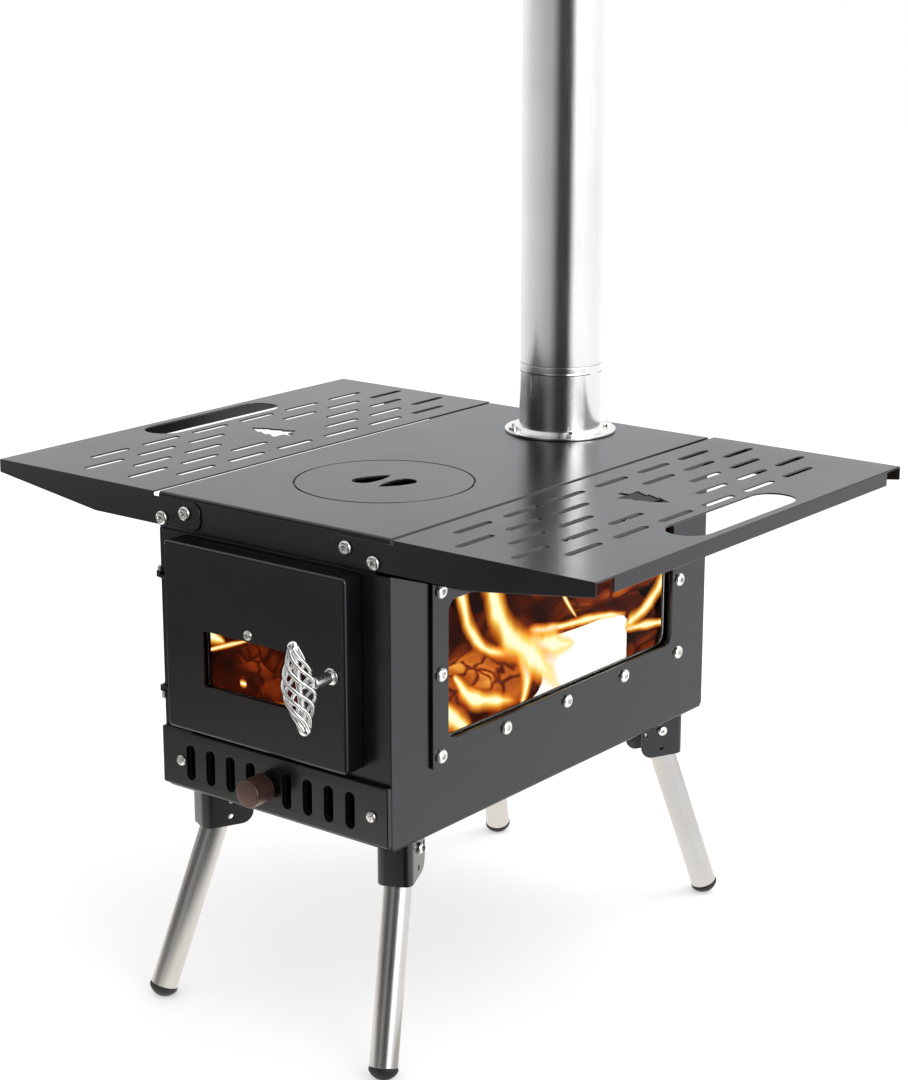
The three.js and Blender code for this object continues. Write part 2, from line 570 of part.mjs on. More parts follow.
/** The spindle through the door: a thick shaft with a collar outside, a thin tip in the grip and in the tongue. */
function handleStem() {
  const at = [stem.x, stem.z];
  return join(
    rod('y', STEM.tip, stem.gripY, tongueFront + TONGUE.thick, at, ROUND.coarse),
    rod('y', STEM.shaft, stem.gripY + CAGE.radius + CAGE.wire + 1, door.face - GAP - STEM.collarThick / 2, at, ROUND.small),
    rod('y', STEM.radius, door.face - GAP - STEM.collarThick, tongueFront - GAP, at, ROUND.small),
    rod('y', STEM.collar, door.face - GAP - STEM.collarThick, door.face - GAP, at, ROUND.small));
}

/** One wire of the cage: a helix about Z that swells in the middle. */
class CageWire extends THREE.Curve {
  constructor(start) {
    super();
    this.start = start;
  }

  getPoint(t, target = new THREE.Vector3()) {
    const angle = this.start - rad(CAGE.twist) * (t - 0.5);
    const radius = CAGE.end + (CAGE.radius - CAGE.end) * Math.max(0, Math.sin(Math.PI * t)) ** 1.45;
    const z = (t - 0.5) * (CAGE.length - 2 * CAGE.bead);
    return target.set(radius * Math.cos(angle), radius * Math.sin(angle), z);
  }
}

/** A round section for a wire. */
function wireSection(radius, sides) {
  const turn = (i) => (2 * Math.PI * i) / sides;
  return new THREE.Shape(Array.from({ length: sides }, (_, i) =>
    new THREE.Vector2(radius * Math.cos(turn(i)), radius * Math.sin(turn(i)))));
}

/** The cage of twisted wires on a core, with a boss that takes the stem's tip. */
function handleGrip() {
  const section = wireSection(CAGE.wire, 5);
  const wires = Array.from({ length: CAGE.wires }, (_, i) => new THREE.ExtrudeGeometry(section, {
    steps: 22, bevelEnabled: false, extrudePath: new CageWire((2 * Math.PI * i) / CAGE.wires),
  }));
  const end = CAGE.length / 2;
  const beads = [-1, 1].map((s) => new THREE.SphereGeometry(CAGE.bead, 10, 6).rotateX(Math.PI / 2)
    .translate(0, 0, s * (end - CAGE.bead)));
  const core = rod('z', CAGE.core, -end + CAGE.bead, end - CAGE.bead, [0, 0], 8);
  const boss = rod('y', STEM.tip + 2, -CAGE.core - 1, CAGE.core + CAGE.wire, [0, 0], ROUND.coarse);
  const bore = rod('y', STEM.tip + GAP, -GAP, CAGE.core + CAGE.wire + 1, [0, 0], ROUND.coarse);
  return cut(join(...wires, ...beads, core, boss), bore)
    .rotateY(-rad(CAGE.lean)).translate(stem.x, stem.gripY, stem.z);
}

/** The tongue behind the front plate: upright it passes the slot, turned it locks the door. */
function latchTongue() {
  const [w, l] = [TONGUE.width / 2, TONGUE.length / 2];
  const bar = block([stem.x - w, tongueFront, stem.z - l], [stem.x + w, tongueFront + TONGUE.thick, stem.z + l]);
  return cut(bar, rod('y', STEM.tip + GAP, tongueFront - 1, tongueFront + TONGUE.thick + 1, [stem.x, stem.z], ROUND.coarse));
}

// ---------------------------------------------------------------- air control
const panelFace = -AIR.depth;
const slideFront = panelFace + SHEET + GAP;

/** The cover over the air slots, a shallow pan that leaves room for the slide. */
function airPanel() {
  const pan = slabY(rectangle(0, panel.z, BODY.width, AIR.height, 1), panelFace, AIR.depth - GAP);
  const inside = slabY(rectangle(0, panel.z, BODY.width - 2 * SHEET, AIR.height - 2 * SHEET),
    panelFace + SHEET, AIR.depth);
  const slots = airSlots.map((x) =>
    slabY(slotHole(x, air.z, AIR.slotWidth, AIR.slotLength, THREE.Shape), panelFace - 1, SHEET + 2));
  const run = rectangle(AIR.knobX + air.travel / 2, air.z, air.travel + 2 * (KNOB.stud + GAP),
    2 * (KNOB.stud + GAP), KNOB.stud + GAP);
  const screws = air.screws.map((x) => rod('y', SCREW.shank + GAP, panelFace - 1, 0, [x, air.z], 8));
  return cut(pan, inside, ...slots, slabY(run, panelFace - 1, SHEET + 2), ...screws);
}

/** The slide: open at rest, it covers every slot when pushed by just over the slots' width. */
function airSlider() {
  const right = airSlots.at(-1) - AIR.slotWidth / 2 - GAP;
  const screw = air.screws[0];
  const left = screw - 2 * BOLT.head + GAP;
  const h = air.slideHeight / 2;
  const plate = block([left, slideFront, air.z - h], [right, slideFront + AIR.slideThick, air.z + h]);
  const slots = airSlots.slice(0, -1).map((x) =>
    slabY(slotHole(x, air.z, AIR.slotWidth, AIR.slotLength, THREE.Shape), slideFront - 1, AIR.slideThick + 2));
  const guide = SCREW.shank + GAP;
  const notch = block([left - 1, slideFront - 1, air.z - guide], [screw + guide, 0, air.z + guide]);
  const studBore = rod('y', KNOB.tip + GAP, slideFront - 1, 0, [AIR.knobX, air.z], ROUND.coarse);
  return cut(plate, ...slots, notch, studBore);
}

function airKnob() {
  const at = [AIR.knobX, air.z];
  const front = panelFace - KNOB.standOff - KNOB.length;
  const profile = [[0, 0], [KNOB.radius - 1.5, 0], [KNOB.radius, 1.5], [KNOB.radius, KNOB.length - 1],
    [KNOB.radius - 1, KNOB.length], [0, KNOB.length]];
  const grip = turned(profile, ROUND.medium).rotateX(-Math.PI / 2).translate(at[0], front, at[1]);
  return join(grip,
    rod('y', KNOB.stud, front + KNOB.length - 1, slideFront - GAP, at, ROUND.coarse),
    rod('y', KNOB.tip, front + KNOB.length - 1, slideFront + AIR.slideThick, at, ROUND.coarse));
}

// ---------------------------------------------------------------- shelves
/** A band of a circle about a centre, for the path that a bolt sweeps through a flange. */
function arcBand([x, z], radius, halfWidth, from, to) {
  const band = new THREE.Shape();
  band.absarc(x, z, radius + halfWidth, from, to, true);
  band.absarc(x, z, radius - halfWidth, to, from, false);
  return band;
}

/** A shelf's flange with its ear about the pivot, in X and Z, drawn for the right side. */
function shelfFlange(pivotX) {
  const earX = pivotX - SHELF.earEnd;
  const [earTop, low, r] = [below(SHELF.earTop), below(SHELF.innerDrop), SHELF.earRound];
  const shape = new THREE.Shape();
  shape.moveTo(shelfInner, TOP).lineTo(shelfOuter, TOP).lineTo(shelfOuter, below(SHELF.outerDrop));
  shape.lineTo(half.x + SHELF.taperEnd, low).lineTo(earX + r, low);
  shape.absarc(earX + r, low + r, r, 1.5 * Math.PI, Math.PI, true);
  shape.lineTo(earX, earTop - r);
  shape.absarc(earX + r, earTop - r, r, Math.PI, Math.PI / 2, true);
  shape.lineTo(shelfInner, earTop).closePath();
  return shape;
}

const handHoleInner = shelfOuter - GRIP_HOLE.inset - GRIP_HOLE.width;
const treeX = half.x + SLOT.firstRow + 2 * SLOT.rowPitch;

/** Slot centres on a shelf, in X and Y, staggered, with the middle left free for the cut-out. */
function shelfSlots(shift) {
  const first = half.x + SLOT.firstRow;
  const rows = Math.floor((handHoleInner - SLOT.clear - SLOT.width / 2 - first) / SLOT.rowPitch) + 1;
  const most = Math.floor((BODY.depth - SLOT.length - 2 * SLOT.margin) / SLOT.pitch) + 1;
  const places = [];
  for (let row = 0; row < rows; row++) {
    const count = row % 2 ? most : most - 1;
    for (let i = 0; i < count; i++) {
      const x = first + row * SLOT.rowPitch;
      const y = half.y + shift + (i - (count - 1) / 2) * SLOT.pitch;
      const besideTree = Math.abs(y - half.y) > (TREE.width + SLOT.length) / 2 + TREE.clear;
      if (besideTree || Math.abs(x - treeX) > (TREE.height + SLOT.width) / 2 + TREE.clear) {
        places.push([x, y]);
      }
    }
  }
  return places;
}

/** A plain fir tree cut-out of three tiers on a trunk, its top towards the outer edge. */
function firTree() {
  const x = treeX;
  const [h, w, t] = [TREE.height, TREE.width / 2, TREE.trunk / 2];
  const side = [[t, 0], [t, 0.16], [w, 0.16], [w * 0.55, 0.42], [w * 0.8, 0.42], [w * 0.4, 0.68], [w * 0.55, 0.68]];
  const path = new THREE.Path();
  path.moveTo(x - h / 2, half.y + side[0][0]);
  side.slice(1).forEach(([y, up]) => path.lineTo(x + h * (up - 0.5), half.y + y));
  path.lineTo(x + h / 2, half.y);
  [...side].reverse().forEach(([y, up]) => path.lineTo(x + h * (up - 0.5), half.y - y));
  return path;
}

/** A shelf drawn for the right side: a slotted sheet with a lip, a hand hole and a flange with an ear at each end. */
function shelf({ pivot: pin, stop }, { slotShift, holeShift }) {
  const reach = shelfOuter - shelfInner;
  const [y0, y1] = [flangeFace, back - flangeFace];
  const outline = rectangle(shelfInner + reach / 2, half.y, reach, y1 - y0);
  const slots = shelfSlots(slotShift).map(([x, y]) => slotHole(x, y, SLOT.width, SLOT.length));
  const hand = hole(handHoleInner + GRIP_HOLE.width / 2, half.y + holeShift,
    GRIP_HOLE.width, GRIP_HOLE.length, GRIP_HOLE.width / 2);
  const sheet = slabZ(withHoles(outline, hand, firTree(), ...slots), below(SHELF.sheet), SHELF.sheet, 3);
  const lip = block([shelfOuter - SHELF.sheet, y0 + SHELF.lipInset, below(SHELF.lip)], [shelfOuter, y1 - SHELF.lipInset, TOP]);
  const flange = shelfFlange(pin.x);
  const [dx, dz] = [stop.x - pin.x, stop.z - pin.z];
  const rest = Math.atan2(dz, dx);
  const clear = BOLT.shank + GAP;
  const path = slabY(arcBand([pin.x, pin.z], Math.hypot(dx, dz), clear, rest, rest - Math.PI / 2), y0 - 1, y1 - y0 + 2, 12);
  const bores = [pin, stop].map(({ x, z }) => rod('y', clear, y0 - 1, y1 + 1, [x, z], ROUND.coarse));
  return cut(join(sheet, lip, slabY(flange, y0, SHELF.sheet), slabY(flange, y1 - SHELF.sheet, SHELF.sheet)), path, ...bores);
}

/** A shelf bolt through the flange's ear and the top plate's skirt, at the front or the back. */
function shelfBolt({ x, z }, side, atFront) {
  const seat = atFront ? flangeFace - GAP : back - flangeFace + GAP;
  const length = 2 * GAP + SHELF.sheet + SHEET + BOLT.reach;
  return aimed(buttonBolt(BOLT, length), [side * x, seat, z], [0, atFront ? -1 : 1, 0]);
}

// ---------------------------------------------------------------- legs
const cheek = LEG.tube + BRACKET.side; // from the leg's plane to a cheek's inner face
const heelInner = Math.tan(tilt) * BRACKET.bottom + LEG.tube / Math.cos(tilt) + GAP;

/** A bent U of sheet, round at its closed heel, about the leg's pivot. +X is outwards. */
function legBracket() {
  const { sheet, round, tail, bottom, heel } = BRACKET;
  const [x0, x1, y] = [-tail, heelInner + sheet, cheek + sheet];
  const u = new THREE.Shape();
  u.moveTo(x0, -y).lineTo(x1 - round, -y);
  u.absarc(x1 - round, -y + round, round, -Math.PI / 2, 0);
  u.absarc(x1 - round, y - round, round, 0, Math.PI / 2);
  u.lineTo(x0, y).lineTo(x0, y - sheet).lineTo(x1 - round, y - sheet);
  u.absarc(x1 - round, y - round, round - sheet, Math.PI / 2, 0, true);
  u.absarc(x1 - round, -y + round, round - sheet, 0, -Math.PI / 2, true);
  u.lineTo(x0, -y + sheet).closePath();
  const high = LEG.pivotDrop - GAP;
  const plan = slabZ(u, -bottom, high + bottom, 2);
  const profile = new THREE.Shape();
  profile.moveTo(x0, high).lineTo(x0, -bottom + heel);
  profile.absarc(x0 + heel, -bottom + heel, heel, Math.PI, 1.5 * Math.PI);
  profile.lineTo(x1 + 1, -bottom).lineTo(x1 + 1, high).closePath();
  const side = slabY(profile, -y - 1, 2 * y + 2, 3);
  const across = (r, x, z) => rod('y', r, -y - 1, y + 1, [x, z], ROUND.bolt);
  return cut(common(plan, side), across(LEG.pin + GAP, 0, 0),
    across(BRACKET.detent, -BRACKET.detentAt, -BRACKET.detent), across(BRACKET.detent, 0, -BRACKET.detentAt));
}

/** The leg's tube, upright, its pivot hole at the origin. */
function legTube() {
  const [r, inner, top, low] = [LEG.tube, LEG.tube - LEG.wall, LEG.above, -LEG.reach];
  const tube = turned([[inner, low], [r, low], [r, top], [inner, top]], ROUND.small);
  return cut(tube, rod('y', LEG.pin + GAP, -r - 1, r + 1, [0, 0], ROUND.bolt));
}

/** The leg's rubber cap, leaned with the leg, its dome cut flat where it stands on the floor. */
function legCap() {
  const end = -LEG.reach - GAP;
  const rim = end - CAP.rim;
  const plug = LEG.tube - LEG.wall - GAP;
  const from = Math.asin(capRadius / dome);
  const centre = rim - domeHeight + dome;
  const steps = 4;
  const cap = Array.from({ length: steps + 1 }, (_, i) => {
    const angle = from * (1 - i / steps);
    return [dome * Math.sin(angle), centre - dome * Math.cos(angle)];
  });
  const profile = [[0, end + CAP.plug], [plug, end + CAP.plug], [plug, end], [capRadius, end], ...cap];
  const whole = turned(profile.reverse(), ROUND.small).rotateY(-tilt);
  const floor = -pivotHeight;
  const wide = 2 * LEG.reach;
  return cut(whole, block([-wide, -wide, floor - wide], [wide, wide, floor]));
}

/** The cross-head screw and its nut, one turned piece through both cheeks and the tube. */
function legPivot(headSide) {
  const seat = cheek + BRACKET.sheet + GAP;
  const shank = rod('y', LEG.pin, -seat - 0.5, seat + 0.5, [0, 0], ROUND.coarse);
  const head = aimed(turned([[0, 0], [LEG.head, 0], [LEG.head, LEG.headRise * 0.4],
    [LEG.head * 0.6, LEG.headRise], [0, LEG.headRise]], ROUND.coarse), [0, headSide * seat, 0], [0, headSide, 0]);
  const nut = headSide > 0 ? rod('y', LEG.nut, -seat - 2.4, -seat, [0, 0], 6) : rod('y', LEG.nut, seat, seat + 2.4, [0, 0], 6);
  return join(shank, head, nut);
}

/** One leg with its bracket: side is -1 or 1 for left or right, end is -1 or 1 for front or back. */
function addLeg(name, side, end) {
  const leg = new THREE.Group();
  const outward = Math.atan2(end * Math.cos(rad(LEG.splay)), side * Math.sin(rad(LEG.splay)));
  leg.position.set(side * (half.x - LEG.pivotX), half.y + end * (half.y - LEG.pivotY), pivotHeight);
  leg.rotation.z = outward;
  const swing = new THREE.Group();
  swing.rotation.y = -tilt;
  leg.add(swing);
  add(`leg_bracket_${name}`, legBracket(), BLACK, leg);
  add(`leg_tube_${name}`, legTube(), STAINLESS, swing);
  add(`leg_cap_${name}`, legCap(), RUBBER, leg);
  add(`leg_pivot_${name}`, legPivot(-side * end), STAINLESS, leg);
  stove.add(leg);
}

// ---------------------------------------------------------------- assembly
add('firebox_shell', fireboxShell(), BLACK);
add('front_plate', frontPlate(), BLACK);
add('back_plate', backPlate(), BLACK);
add('top_plate', topPlate(), BLACK);
add('lid_seat', lidSeat(), BLACK);
add('cooking_lid', cookingLid(), BLACK);
add('fire_grate', fireGrate(), BLACK);
add('smoke_baffle', smokeBaffle(), BLACK);

add('window_frame', windowFrame(), BLACK);
add('window_seal', windowSeal(), ROPE);
add('window_glass', windowGlass(), GLASS);
add('window_clamp', windowClamp(), STAINLESS);

add('flue_collar', flueCollar(), STAINLESS);
add('flue_pipe', fluePipe(), STAINLESS);
const flangeScrew = buttonBolt({ ...BOLT, head: SCREW.head, rise: SCREW.rise, shank: SCREW.shank },
  GAP + FLUE.flangeThick + SHEET + SCREW.reach);
flangeScrewPlaces().forEach(([x, y], i) => {
  add(`flange_screw_${i + 1}`, aimed(flangeScrew, [x, y, TOP + 2 * GAP + FLUE.flangeThick], [0, 0, 1]), STAINLESS);
});

add('door_shell', doorShell(), BLACK);
add('door_glass', doorGlass(), GLASS);
add('door_glass_clamp', doorGlassClamp(), BLACK);
add('door_glass_bolt', doorGlassBolt(), STAINLESS);
add('door_liner', doorLiner(), BLACK);
add('door_gasket', doorGasket(), ROPE);
add('hinge_pin_upper', hingePin(hingeTabs().upper, PIN_HEAD.upper, true), STAINLESS);
add('hinge_pin_lower', hingePin(hingeTabs().lower, PIN_HEAD.lower, false), STAINLESS);
add('handle_stem', handleStem(), STAINLESS);
add('handle_grip', handleGrip(), CHROME);
add('latch_tongue', latchTongue(), STAINLESS);

add('air_panel', airPanel(), BLACK);
add('air_slider', airSlider(), BLACK);
add('air_knob', airKnob(), BRONZE);
const panelScrew = buttonBolt({ ...BOLT, head: SCREW.head, rise: SCREW.rise, shank: SCREW.shank },
  GAP + AIR.depth + SHEET + SCREW.reach);
sides.forEach(([name], i) => {
  add(`air_panel_screw_${name}`, aimed(panelScrew, [air.screws[i], panelFace - GAP, air.z], [0, -1, 0]), STAINLESS);
});

add('shelf_right', shelf(shelfBolts.right, SHELF_SIDE.right), BLACK);
add('shelf_left', mirrored(shelf(shelfBolts.left, SHELF_SIDE.left)), BLACK);
sides.forEach(([name, side]) => {
  [['front', true], ['back', false]].forEach(([end, atFront]) => {
    add(`shelf_pivot_${end}_${name}`, shelfBolt(shelfBolts[name].pivot, side, atFront), STAINLESS);
    add(`shelf_stop_${end}_${name}`, shelfBolt(shelfBolts[name].stop, side, atFront), STAINLESS);
  });
});

addLeg('front_left', -1, -1);
addLeg('front_right', 1, -1);
addLeg('back_left', -1, 1);
addLeg('back_right', 1, 1);

// The origin goes to the middle of the footprint, on the floor.
const bounds = new THREE.Box3().setFromObject(stove, true);
const middle = bounds.getCenter(new THREE.Vector3());
stove.position.set(-middle.x, -middle.y, -bounds.min.z);

export default stove;
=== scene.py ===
"""The looks of a tent wood stove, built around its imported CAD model.

Metres, +Z up, +Y from the door to the back, +X to the right as seen from the door, with the origin on the
floor in the middle of the footprint. Each sub-assembly is a class that builds its meshes and dresses them.
"""

import json
import logging
import math
from dataclasses import dataclass
from enum import Enum
from typing import Any, Callable, Sequence

import bmesh
import bpy
from mathutils import Matrix, Vector, noise

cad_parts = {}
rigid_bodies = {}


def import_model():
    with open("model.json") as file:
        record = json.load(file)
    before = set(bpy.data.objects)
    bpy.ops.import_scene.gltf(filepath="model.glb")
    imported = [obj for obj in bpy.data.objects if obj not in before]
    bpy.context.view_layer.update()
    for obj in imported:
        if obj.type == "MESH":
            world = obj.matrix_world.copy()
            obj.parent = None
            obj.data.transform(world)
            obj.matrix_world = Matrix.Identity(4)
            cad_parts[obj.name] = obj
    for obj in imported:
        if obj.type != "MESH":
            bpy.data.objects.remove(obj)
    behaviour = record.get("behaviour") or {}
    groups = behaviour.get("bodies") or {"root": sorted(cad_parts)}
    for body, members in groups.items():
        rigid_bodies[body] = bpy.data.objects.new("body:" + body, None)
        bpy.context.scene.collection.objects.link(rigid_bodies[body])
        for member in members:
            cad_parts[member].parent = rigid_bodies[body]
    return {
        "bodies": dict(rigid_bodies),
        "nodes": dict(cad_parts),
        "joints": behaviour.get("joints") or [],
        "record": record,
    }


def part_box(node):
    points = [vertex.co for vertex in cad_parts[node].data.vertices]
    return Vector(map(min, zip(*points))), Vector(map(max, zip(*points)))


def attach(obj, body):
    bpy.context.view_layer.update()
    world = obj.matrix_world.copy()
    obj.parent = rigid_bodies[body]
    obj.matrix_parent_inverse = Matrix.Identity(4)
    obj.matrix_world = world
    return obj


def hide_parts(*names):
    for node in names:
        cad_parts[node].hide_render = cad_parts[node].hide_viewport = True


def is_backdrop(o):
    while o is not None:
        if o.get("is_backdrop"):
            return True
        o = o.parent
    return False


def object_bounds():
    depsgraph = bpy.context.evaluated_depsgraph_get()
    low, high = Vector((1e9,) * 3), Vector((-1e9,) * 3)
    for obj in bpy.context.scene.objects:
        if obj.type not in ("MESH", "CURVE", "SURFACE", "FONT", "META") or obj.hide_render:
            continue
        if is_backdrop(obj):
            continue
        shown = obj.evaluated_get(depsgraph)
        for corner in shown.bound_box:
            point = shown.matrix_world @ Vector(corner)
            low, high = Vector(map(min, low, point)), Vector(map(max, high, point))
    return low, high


LOG = logging.getLogger("tent_stove")
MM = 0.001
FULL_TURN = 2 * math.pi
QUARTER = math.pi / 2
WHITE = (1.0, 1.0, 1.0, 1.0)
SEEN_SMOOTH = 35.0
FORWARD, BACKWARD, UP = Vector((0, -1, 0)), Vector((0, 1, 0)), Vector((0, 0, 1))
Point = tuple[float, float]
Triple = tuple[float, float, float]
Outline = list[Point]
Ring = Sequence[bmesh.types.BMVert]
Seats = Sequence[tuple[Vector, Vector]]


# ---------------------------------------------------------------- names
class Body(Enum):
    """The moving bodies that pieces ride on."""

    STOVE = "stove"
    DOOR = "door"
    HANDLE = "handle"
    AIR = "air_control"
    LID = "lid"
    PIPE = "flue_pipe"
    SHELF_LEFT = "shelf_left"
    SHELF_RIGHT = "shelf_right"


class Slot(Enum):
    """The record's material slots."""

    COAT = "black_steel"
    STEEL = "stainless"
    PLATED = "chrome"
    RUBBER = "rubber"
    KNOB = "bronze"
    ROPE = "rope"
    GLASS = "glass"


class Plane(Enum):
    """The plane that an outline is drawn in; the third axis is the plate's thickness."""

    XY = "xy"
    XZ = "xz"
    YZ = "yz"

    def point(self, u: float, v: float, w: float) -> Vector:
        """Puts a drawn point (u, v) at depth w into the object's frame."""
        if self is Plane.XY:
            return Vector((u, v, w))
        if self is Plane.XZ:
            return Vector((u, w, v))
        return Vector((w, u, v))


class Recess(Enum):
    """The shape of the driver's recess in a screw head."""

    HEXAGON = "hexagon"
    CROSS = "cross"


# ---------------------------------------------------------------- outlines
def arc(centre: Point, radius: float, start: float, end: float, steps: int) -> Outline:
    """Points along an arc, both ends included.

    Args:
        centre: Middle of the arc.
        radius: Its radius in metres.
        start: First angle in radians.
        end: Last angle in radians.
        steps: How many chords it has.

    Returns:
        The arc's points in order.
    """
    angles = (start + (end - start) * i / steps for i in range(steps + 1))
    return [(centre[0] + radius * math.cos(a), centre[1] + radius * math.sin(a)) for a in angles]


def circle(centre: Point, radius: float, facets: int = 128) -> Outline:
    """A closed circle, counter-clockwise."""
    return arc(centre, radius, 0, FULL_TURN, facets)[:-1]


def rounded(low: Point, high: Point, radius: float, steps: int = 8) -> Outline:
    """A rectangle between two corners with round corners, counter-clockwise."""
    (x0, y0), (x1, y1), r = low, high, radius
    corners = ((x1 - r, y0 + r), (x1 - r, y1 - r), (x0 + r, y1 - r), (x0 + r, y0 + r))
    turns = (QUARTER * i for i in range(-1, 3))
    return [p for c, a in zip(corners, turns) for p in arc(c, r, a, a + QUARTER, steps)]


def curved(start: Sequence[float], pull: Sequence[float], end: Sequence[float], steps: int) -> Outline:
    """Points on a curve from start to end that leans towards pull, both ends included."""
    shares = [i / steps for i in range(steps + 1)]
    return [tuple(a * (1 - t) ** 2 + b * 2 * t * (1 - t) + c * t**2 for a, b, c in zip(start, pull, end))
            for t in shares]


def softened(points: Sequence[Point], radius: float, steps: int = 4) -> Outline:
    """Rounds the inner corners of an open line.

    Args:
        points: The line's corners; its two ends stay as they are.
        radius: Radius of each corner, cut down where a side is short.
        steps: Chords in each corner.

    Returns:
        The line with an arc at each corner.
    """
    out: Outline = [points[0]]
    for before, corner, after in zip(points, points[1:], points[2:]):
        p = Vector(corner)
        a, b = Vector(before) - p, Vector(after) - p
        half = a.angle(b) / 2
        reach = min(radius / max(math.tan(half), 0.1), a.length * 0.48, b.length * 0.48)
        out += curved(p + a.normalized() * reach, p, p + b.normalized() * reach, steps)
    out.append(points[-1])
    return out


def grown(outline: Outline, by: float) -> Outline:
    """Moves each side of a closed outline to its right as it is travelled, which is outwards on a
    counter-clockwise one."""
    moved = []
    count = len(outline)
    for i, point in enumerate(outline):
        back = Vector(point) - Vector(outline[i - 1])
        ahead = Vector(outline[(i + 1) % count]) - Vector(point)
        right = [Vector((d.y, -d.x)).normalized() for d in (back, ahead)]
        middle = (right[0] + right[1]).normalized()
        moved.append(tuple(Vector(point) + middle * (by / max(middle.dot(right[0]), 0.35))))
    return moved


def area(outline: Outline) -> float:
    """Signed area of a closed outline, positive when it runs counter-clockwise."""
    pairs = zip(outline, outline[1:] + outline[:1])
    return sum(a[0] * b[1] - b[0] * a[1] for a, b in pairs) / 2


def directed(outline: Outline, positive: bool) -> Outline:
    """The outline running counter-clockwise if positive is true, and clockwise otherwise."""
    return outline if (area(outline) > 0) == positive else outline[::-1]


# ---------------------------------------------------------------- meshes
def linked(name: str, data: bpy.types.ID) -> bpy.types.Object:
    """A new object in the scene."""
    made = bpy.data.objects.new(name, data)
    bpy.context.scene.collection.objects.link(made)
    return made


def evaluated(piece: bpy.types.Object) -> bpy.types.Mesh:
    """A plain copy of an object's mesh with its modifiers applied."""
    bpy.context.view_layer.update()
    return bpy.data.meshes.new_from_object(piece.evaluated_get(bpy.context.evaluated_depsgraph_get()))


def shaded(mesh: bpy.types.Mesh) -> bpy.types.Mesh:
    """The mesh, smooth but for its sharp edges."""
    mesh.shade_smooth()
    mesh.set_sharp_from_angle(angle=math.radians(SEEN_SMOOTH))
    return mesh


def object_with(name: str, bm: bmesh.types.BMesh | bpy.types.Mesh) -> bpy.types.Object:
    """Links a mesh as an object with clean shading, its flat faces kept flat.

    Args:
        name: The object's name.
        bm: The finished mesh; a bmesh is freed here.

    Returns:
        The object, at the origin.
    """
    mesh = bm
    if isinstance(bm, bmesh.types.BMesh):
        mesh = bpy.data.meshes.new(name)
        bm.to_mesh(mesh)
        bm.free()
    made = linked(name, shaded(mesh))
    made.modifiers.new("Normals", "WEIGHTED_NORMAL").keep_sharp = True
    return made


def object_of(name: str, bm: bmesh.types.BMesh) -> bpy.types.Object:
    """Turns a closed bmesh into an object with outward faces."""
    bmesh.ops.recalc_face_normals(bm, faces=bm.faces[:])
    return object_with(name, bm)


def join_rings(bm: bmesh.types.BMesh, rings: Sequence[Ring], closed: bool = False) -> None:
    """Skins a row of rings, each a loop of as many points, or a single point at a pole."""
    pairs = list(zip(rings, rings[1:])) + ([(rings[-1], rings[0])] if closed else [])
    for low, high in pairs:
        count = max(len(low), len(high))
        for i in range(count):
            j = (i + 1) % count
            corners = [low[i % len(low)], low[j % len(low)], high[j % len(high)], high[i % len(high)]]
            unique = list(dict.fromkeys(corners))
            if len(unique) > 2:
                bm.faces.new(unique)


def cap(bm: bmesh.types.BMesh, rings: Sequence[Ring]) -> None:
    """Fills the flat face between an outer ring and the rings of its holes."""
    edges = []
    for ring in rings:
        for a, b in zip(ring, list(ring[1:]) + [ring[0]]):
            edges.append(bm.edges.get((a, b)) or bm.edges.new((a, b)))
    bmesh.ops.triangle_fill(bm, use_beauty=True, edges=edges)


def swept(bm: bmesh.types.BMesh, plane: Plane, loop: Outline, profile: Sequence[Point]) -> list[Ring]:
    """Skins an outline that shrinks by an inset at each depth of a profile, and returns its rings."""
    rings = [[bm.verts.new(plane.point(u, v, w)) for u, v in grown(loop, -inset)] for inset, w in profile]
    join_rings(bm, rings)
    return rings


def plate(name: str, plane: Plane, outer: Outline, holes: Sequence[Outline], low: float, high: float,
          edge: float) -> bpy.types.Object:
    """A flat plate with holes and rounded edges.

    Args:
        name: The object's name.
        plane: The plane of the outlines.
        outer: The plate's outline.
        holes: Outlines of its holes.
        low: Where its thickness starts along the third axis.
        high: Where its thickness ends.
        edge: Radius of every edge.

    Returns:
        The plate as an object.
    """
    bm = bmesh.new()
    turns = [QUARTER * i / 3 for i in range(4)]
    profile = [(edge * (1 - math.sin(a)), low + edge * (1 - math.cos(a))) for a in turns]
    profile += [(inset, low + high - w) for inset, w in reversed(profile)]
    tops, bottoms = [], []
    for loop in [directed(outer, True)] + [directed(h, False) for h in holes]:
        rings = swept(bm, plane, loop, profile)
        bottoms.append(rings[0])
        tops.append(rings[-1])
    cap(bm, bottoms)
    cap(bm, tops)
    return object_of(name, bm)


